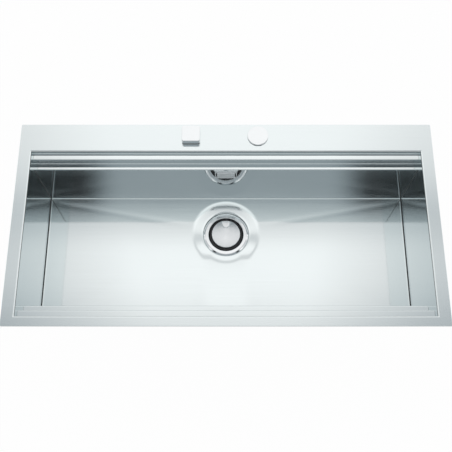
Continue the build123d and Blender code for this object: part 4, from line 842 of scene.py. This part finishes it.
def thread_sleeve(radius, low, high, pitch, depth, columns):
    """Closed sleeve with a screw thread round the Z axis.

    The radius grows by the depth times a triangle wave of the height over the pitch less the turn. The wave
    fades over the first and last pitch, and the sleeve's inside lies in the bar that it stands on.
    """
    height = np.linspace(low, high, int(ROWS_PER_TURN * (high - low) / pitch))[:, None]
    turn = np.linspace(0.0, 2 * pi, columns, endpoint=False)[None, :]
    wave = 1.0 - np.abs(2.0 * ((height / pitch - turn / (2 * pi)) % 1.0) - 1.0)
    fade = np.clip(np.minimum(height - low, high - height) / pitch, 0.0, 1.0)
    out = radius + depth * wave * fade
    inside = np.full_like(turn, radius - depth / 2)
    out = np.concatenate((inside, out, inside, inside))
    height = np.concatenate(((low,), height[:, 0], (high, low)))[:, None]
    return np.stack((out * np.cos(turn), out * np.sin(turn), height + 0.0 * turn), -1)


def add_threads(name, sleeve, places, look):
    """Make one piece of a threaded sleeve at each of some level places."""
    places = LEVEL * np.reshape(places, (-1, 1, 1, 3))
    faces = grid_faces(*sleeve.shape[:2], ring=True)
    faces = repeat_faces(faces, sleeve[..., 0].size, len(places))
    make_piece(name, sleeve + places, faces, look, "sink")


class SINK_OT_cut_threads(bpy.types.Operator):
    """Cut the threads of the waste's outlet, of the hole cap's stud and of the clip screws"""

    bl_idname = "sink.cut_threads"
    bl_label = "Cut the threads"

    def execute(self, context):
        threads = context.scene.sink_threads
        outlet_gap, stud_gap, screw_gap, head_gap = 0.001, 0.0005, 0.0005, 0.0003
        low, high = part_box("waste_flange")
        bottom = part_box("waste_body")[0][2]
        outlet = thread_sleeve(
            threads.outlet_radius, bottom + outlet_gap, bottom + threads.outlet_length,
            threads.outlet_pitch, depth=0.0007, columns=64)
        add_threads("outlet_thread", outlet, (low + high) / 2, "grey_mouldings")
        low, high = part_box("cap_stud")
        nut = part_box("cap_wing_nut")[0][2]
        stud = thread_sleeve(
            (high[0] - low[0]) / 2, low[2] + stud_gap, nut - stud_gap,
            pitch=0.00125, depth=0.0004, columns=32)
        add_threads("stud_thread", stud, (low + high) / 2, "bright_bars")
        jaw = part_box("worktop_clips")[0][2] + threads.clip_sheet
        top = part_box("clip_screws")[1][2]
        screw = thread_sleeve(
            threads.clip_screw_radius, jaw + screw_gap, top - head_gap,
            pitch=0.0008, depth=0.0003, columns=16)
        add_threads("clip_screw_threads", screw, threads.screw_places(), "zinc_plating")
        return {"FINISHED"}


class SINK_OT_turn_screws(bpy.types.Operator):
    """Turn the lever cover's four pan-head screws, with a cross recess in each head"""

    bl_idname = "sink.turn_screws"
    bl_label = "Turn the cover screws"

    def execute(self, context):
        """Spin a screw's profile, from the shank's tip to the head's crown, and press a cross into it.

        The cross is the nearer of two straight slots, as deep as it is far inside their edges.
        """
        low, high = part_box("lever_cover_screws")
        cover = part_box("lever_cover")[0][0]
        radius, shank, length, tall = 0.003, 0.00145, high[0] - cover, cover - low[0]
        rim, fullness, crown_share = 0.35 * tall, 0.7, 0.62
        slot_half, slot_reach, slot_slope, slot_depth = 0.0005, 0.0017, 0.0003, 0.0011
        crown = np.linspace(0.0, pi / 2, 15)
        out = np.concatenate(((0.0, shank, shank, radius), radius * np.cos(crown) ** fullness))
        out[-1] = 0.0
        rise = np.concatenate(((-length, -length, 0.0, 0.0), rim + (tall - rim) * np.sin(crown)))
        turn = np.linspace(0.0, 2 * pi, 96, endpoint=False)
        fine = np.linspace(radius * crown_share, 0.0, 16)
        keep = out > fine[0]
        keep[:4] = True
        across = np.concatenate((out[keep], fine))[:, None]
        height = np.interp(fine, out[:3:-1], rise[:3:-1])
        height = np.concatenate((rise[keep], height))[:, None] + 0.0 * turn
        x = across * np.cos(turn)
        y = across * np.sin(turn)
        slot = np.maximum(np.minimum(np.abs(x), np.abs(y)) - slot_half, across - slot_reach)
        sink = np.clip(-slot / slot_slope, 0.0, 1.0) * slot_depth
        height = np.where(height > rim, height - sink, height)
        places = np.array([(along, up) for along in (low[1], high[1]) for up in (low[2], high[2])])
        places = places + np.where(np.isclose(places, low[1:]), radius, -radius)
        points = np.stack([np.stack((cover - height, y + place[0], x + place[1]), -1) for place in places])
        faces = repeat_faces(grid_faces(*x.shape, ring=True), x.size, len(places))
        make_piece(
            "cover_screws", points, faces, "zinc_plating", "sink", ("lever_cover_screws",))
        return {"FINISHED"}


class SINK_OT_finish_sheets(bpy.types.Operator):
    """Finish the rim and walls as satin sheet steel, brushed along each sheet"""

    bl_idname = "sink.finish_sheets"
    bl_label = "Finish the sheets"

    def execute(self, context):
        coat("satin_rim", "deck_frame")
        coat("satin_long_walls", "back_wall", "front_wall")
        coat("satin_end_walls", "left_end_wall", "right_end_wall")
        return {"FINISHED"}


class SINK_OT_finish_fittings(bpy.types.Operator):
    """Finish the polished, turned and plated metal fittings"""

    bl_idname = "sink.finish_fittings"
    bl_label = "Finish the metal fittings"

    def execute(self, context):
        coat("polished_fittings", "waste_flange", "control_knob", "tap_hole_cap")
        coat("satin_plate", "overflow_plate")
        coat("bright_bars", "strainer_stem", "lift_pin", "lever_axle", "control_spindle", "cap_stud",
             "cap_bridge")
        coat("zinc_plating", "clip_rails", "worktop_clips", "clip_screws", "cap_wing_nut", "overflow_nut")
        coat("cast_brass", "control_bush", "control_backnut")
        return {"FINISHED"}


class SINK_OT_finish_mouldings(bpy.types.Operator):
    """Finish the plastic mouldings, rubber seals, foam and damping pads"""

    bl_idname = "sink.finish_mouldings"
    bl_label = "Finish the mouldings and seals"

    def execute(self, context):
        coat("black_mouldings", "strainer_basket", "lift_lever", "cable_drum", "lever_cover",
             "control_housing", "control_cover", "lever_cable_gland", "control_cable_gland")
        coat("grey_mouldings", "waste_body", "overflow_body", "overflow_pipe", "overflow_pipe_nuts")
        coat("rubber_seals", "plug_seal", "flange_gasket", "body_gasket", "lever_cover_gasket",
             "overflow_gasket", "control_washer", "cap_gasket")
        coat("rim_foam", "rim_seal")
        coat("damping_pads", "sound_pads")
        return {"FINISHED"}


def studio_light(world, studio):
    """Light by direction: by how far it leans to the side and to the back for each unit upwards.

    A large pale light fills the top and the back and falls off to the sides. The front is grey, with a dark
    flag at each side, and lighter low down. The walls near the horizon are pale.
    """
    graph = Graph(world)
    direction = graph.add("ShaderNodeTexCoord")
    x, y, z = (graph.part(direction, axis) for axis in range(3))
    height = graph.math("MAXIMUM", z, LEAST_HEIGHT)
    across, back = x / height, y / height
    side = abs(across)
    lean = graph.math("MAXIMUM", side / (LEAN_BASE + LEAN_GROWTH * abs(back)), FALL_FROM)
    fall = graph.math("MAXIMUM", FALL_START - FALL_SLOPE * lean, FALL_LEAST)
    wide = graph.smooth(side, *WIDE)
    fall = fall * (1 - wide) + graph.smooth(across, *WIDE_LEVELS) * wide
    dip = graph.smooth(abs(back), *DIP) * graph.smooth(back, *DIP_END)
    top = studio.top_light * fall * graph.smooth(abs(back), *OVERHEAD) * (1 - dip)
    flag = graph.smooth(side, *FLAG_SIDE) * graph.smooth(back, *FLAG_FRONT)
    front = studio.front_light * (1 - flag) + studio.flag_light * flag
    front = front * graph.smooth(back, *LOW_FRONT)
    behind = graph.smooth(back, *BACK_EDGE)
    upper = top * behind + front * (1 - behind)
    wall = graph.smooth(z, *HORIZON)
    level = upper * wall + studio.wall_light * (1 - wall)
    tint = graph.blend(graph.smooth(level, *TINT_LEVELS), SHADE_TINT, WHITE)
    background = graph.add("ShaderNodeBackground", None, {"Color": tint, "Strength": level})
    graph.add("ShaderNodeOutputWorld", None, {"Surface": background})


def floor_material():
    """White studio floor: bright to the camera and in mirrors, with a faint shadow of the object."""
    graph = Graph(bpy.data.materials.new("studio_floor"))
    rays = [graph.add("ShaderNodeLightPath", None, None, name) for name in
            ("Is Camera Ray", "Is Glossy Ray", "Is Transmission Ray")]
    seen = graph.math("MINIMUM", rays[0] + rays[1] + rays[2], 1.0)
    paint = graph.add("ShaderNodeBsdfDiffuse", None, {"Color": shade(WHITE, 0.9)})
    glow = graph.add("ShaderNodeEmission", None, {"Color": WHITE, "Strength": 1.0})
    both = graph.add("ShaderNodeMixShader", None, {0: FLOOR_GLOW * seen, 1: paint, 2: glow})
    graph.add("ShaderNodeOutputMaterial", None, {"Surface": both})
    return graph.owner


class SINK_OT_set_stage(bpy.types.Operator):
    """Set up the camera, the pale floor and the studio light"""

    bl_idname = "sink.set_stage"
    bl_label = "Set the stage"

    def execute(self, context):
        scene = context.scene
        studio = scene.sink_studio
        scene.view_settings.view_transform = "Standard"
        camera = bpy.data.objects.new("studio_camera", bpy.data.cameras.new("studio_camera"))
        camera.location = studio.camera_place
        camera.rotation_euler = (studio.camera_pitch, 0.0, 0.0)
        camera.data.lens = studio.camera_lens
        camera.data.sensor_width = 36.0
        camera.data.clip_end = 200.0
        scene.collection.objects.link(camera)
        scene.camera = camera
        corners = FLOOR_REACH * np.array(((-1, -1, 0), (1, -1, 0), (1, 1, 0), (-1, 1, 0)), float)
        corners[:, 2] = CAD_LOW[2] - studio.floor_gap
        mesh = bpy.data.meshes.new("studio_floor")
        mesh.from_pydata(corners, [], np.array(((0, 1, 2, 3),)))
        floor = bpy.data.objects.new("studio_floor", mesh)
        mesh.materials.append(floor_material())
        scene.collection.objects.link(floor)
        scene.world = bpy.data.worlds.new("studio")
        studio_light(scene.world, studio)
        return {"FINISHED"}


class SINK_PT_sidebar(bpy.types.Panel):
    """Lists the steps that dress the sink"""

    bl_idname = "SINK_PT_sidebar"
    bl_label = "Sink"
    bl_space_type = "VIEW_3D"
    bl_region_type = "UI"
    bl_category = "Sink"

    def draw(self, context):
        for step in STEPS:
            self.layout.operator(step.bl_idname)
        for group_name, kind in GROUPS.items():
            column = self.layout.column()
            for name in kind.__annotations__:
                column.prop(getattr(context.scene, group_name), name)


STEPS = (
    SINK_OT_press_floor,
    SINK_OT_run_beads,
    SINK_OT_turn_cap,
    SINK_OT_cut_threads,
    SINK_OT_turn_screws,
    SINK_OT_finish_sheets,
    SINK_OT_finish_fittings,
    SINK_OT_finish_mouldings,
    SINK_OT_set_stage,
)
GROUPS = {
    "sink_finishes": SinkFinishes,
    "sink_pressings": SinkPressings,
    "sink_threads": SinkThreads,
    "sink_studio": SinkStudio,
}
CLASSES = (*GROUPS.values(), *STEPS, SINK_PT_sidebar)


def register():
    for item in CLASSES:
        bpy.utils.register_class(item)
    for name, kind in GROUPS.items():
        setattr(bpy.types.Scene, name, PointerProperty(type=kind))


def unregister():
    for name in reversed(GROUPS):
        delattr(bpy.types.Scene, name)
    for item in reversed(CLASSES):
        bpy.utils.unregister_class(item)


def main():
    """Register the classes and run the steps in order."""
    register()
    bpy.ops.sink.press_floor()
    bpy.ops.sink.run_beads()
    bpy.ops.sink.turn_cap()
    bpy.ops.sink.cut_threads()
    bpy.ops.sink.turn_screws()
    bpy.ops.sink.finish_sheets()
    bpy.ops.sink.finish_fittings()
    bpy.ops.sink.finish_mouldings()
    bpy.ops.sink.set_stage()


if __name__ == "__main__":
    main()
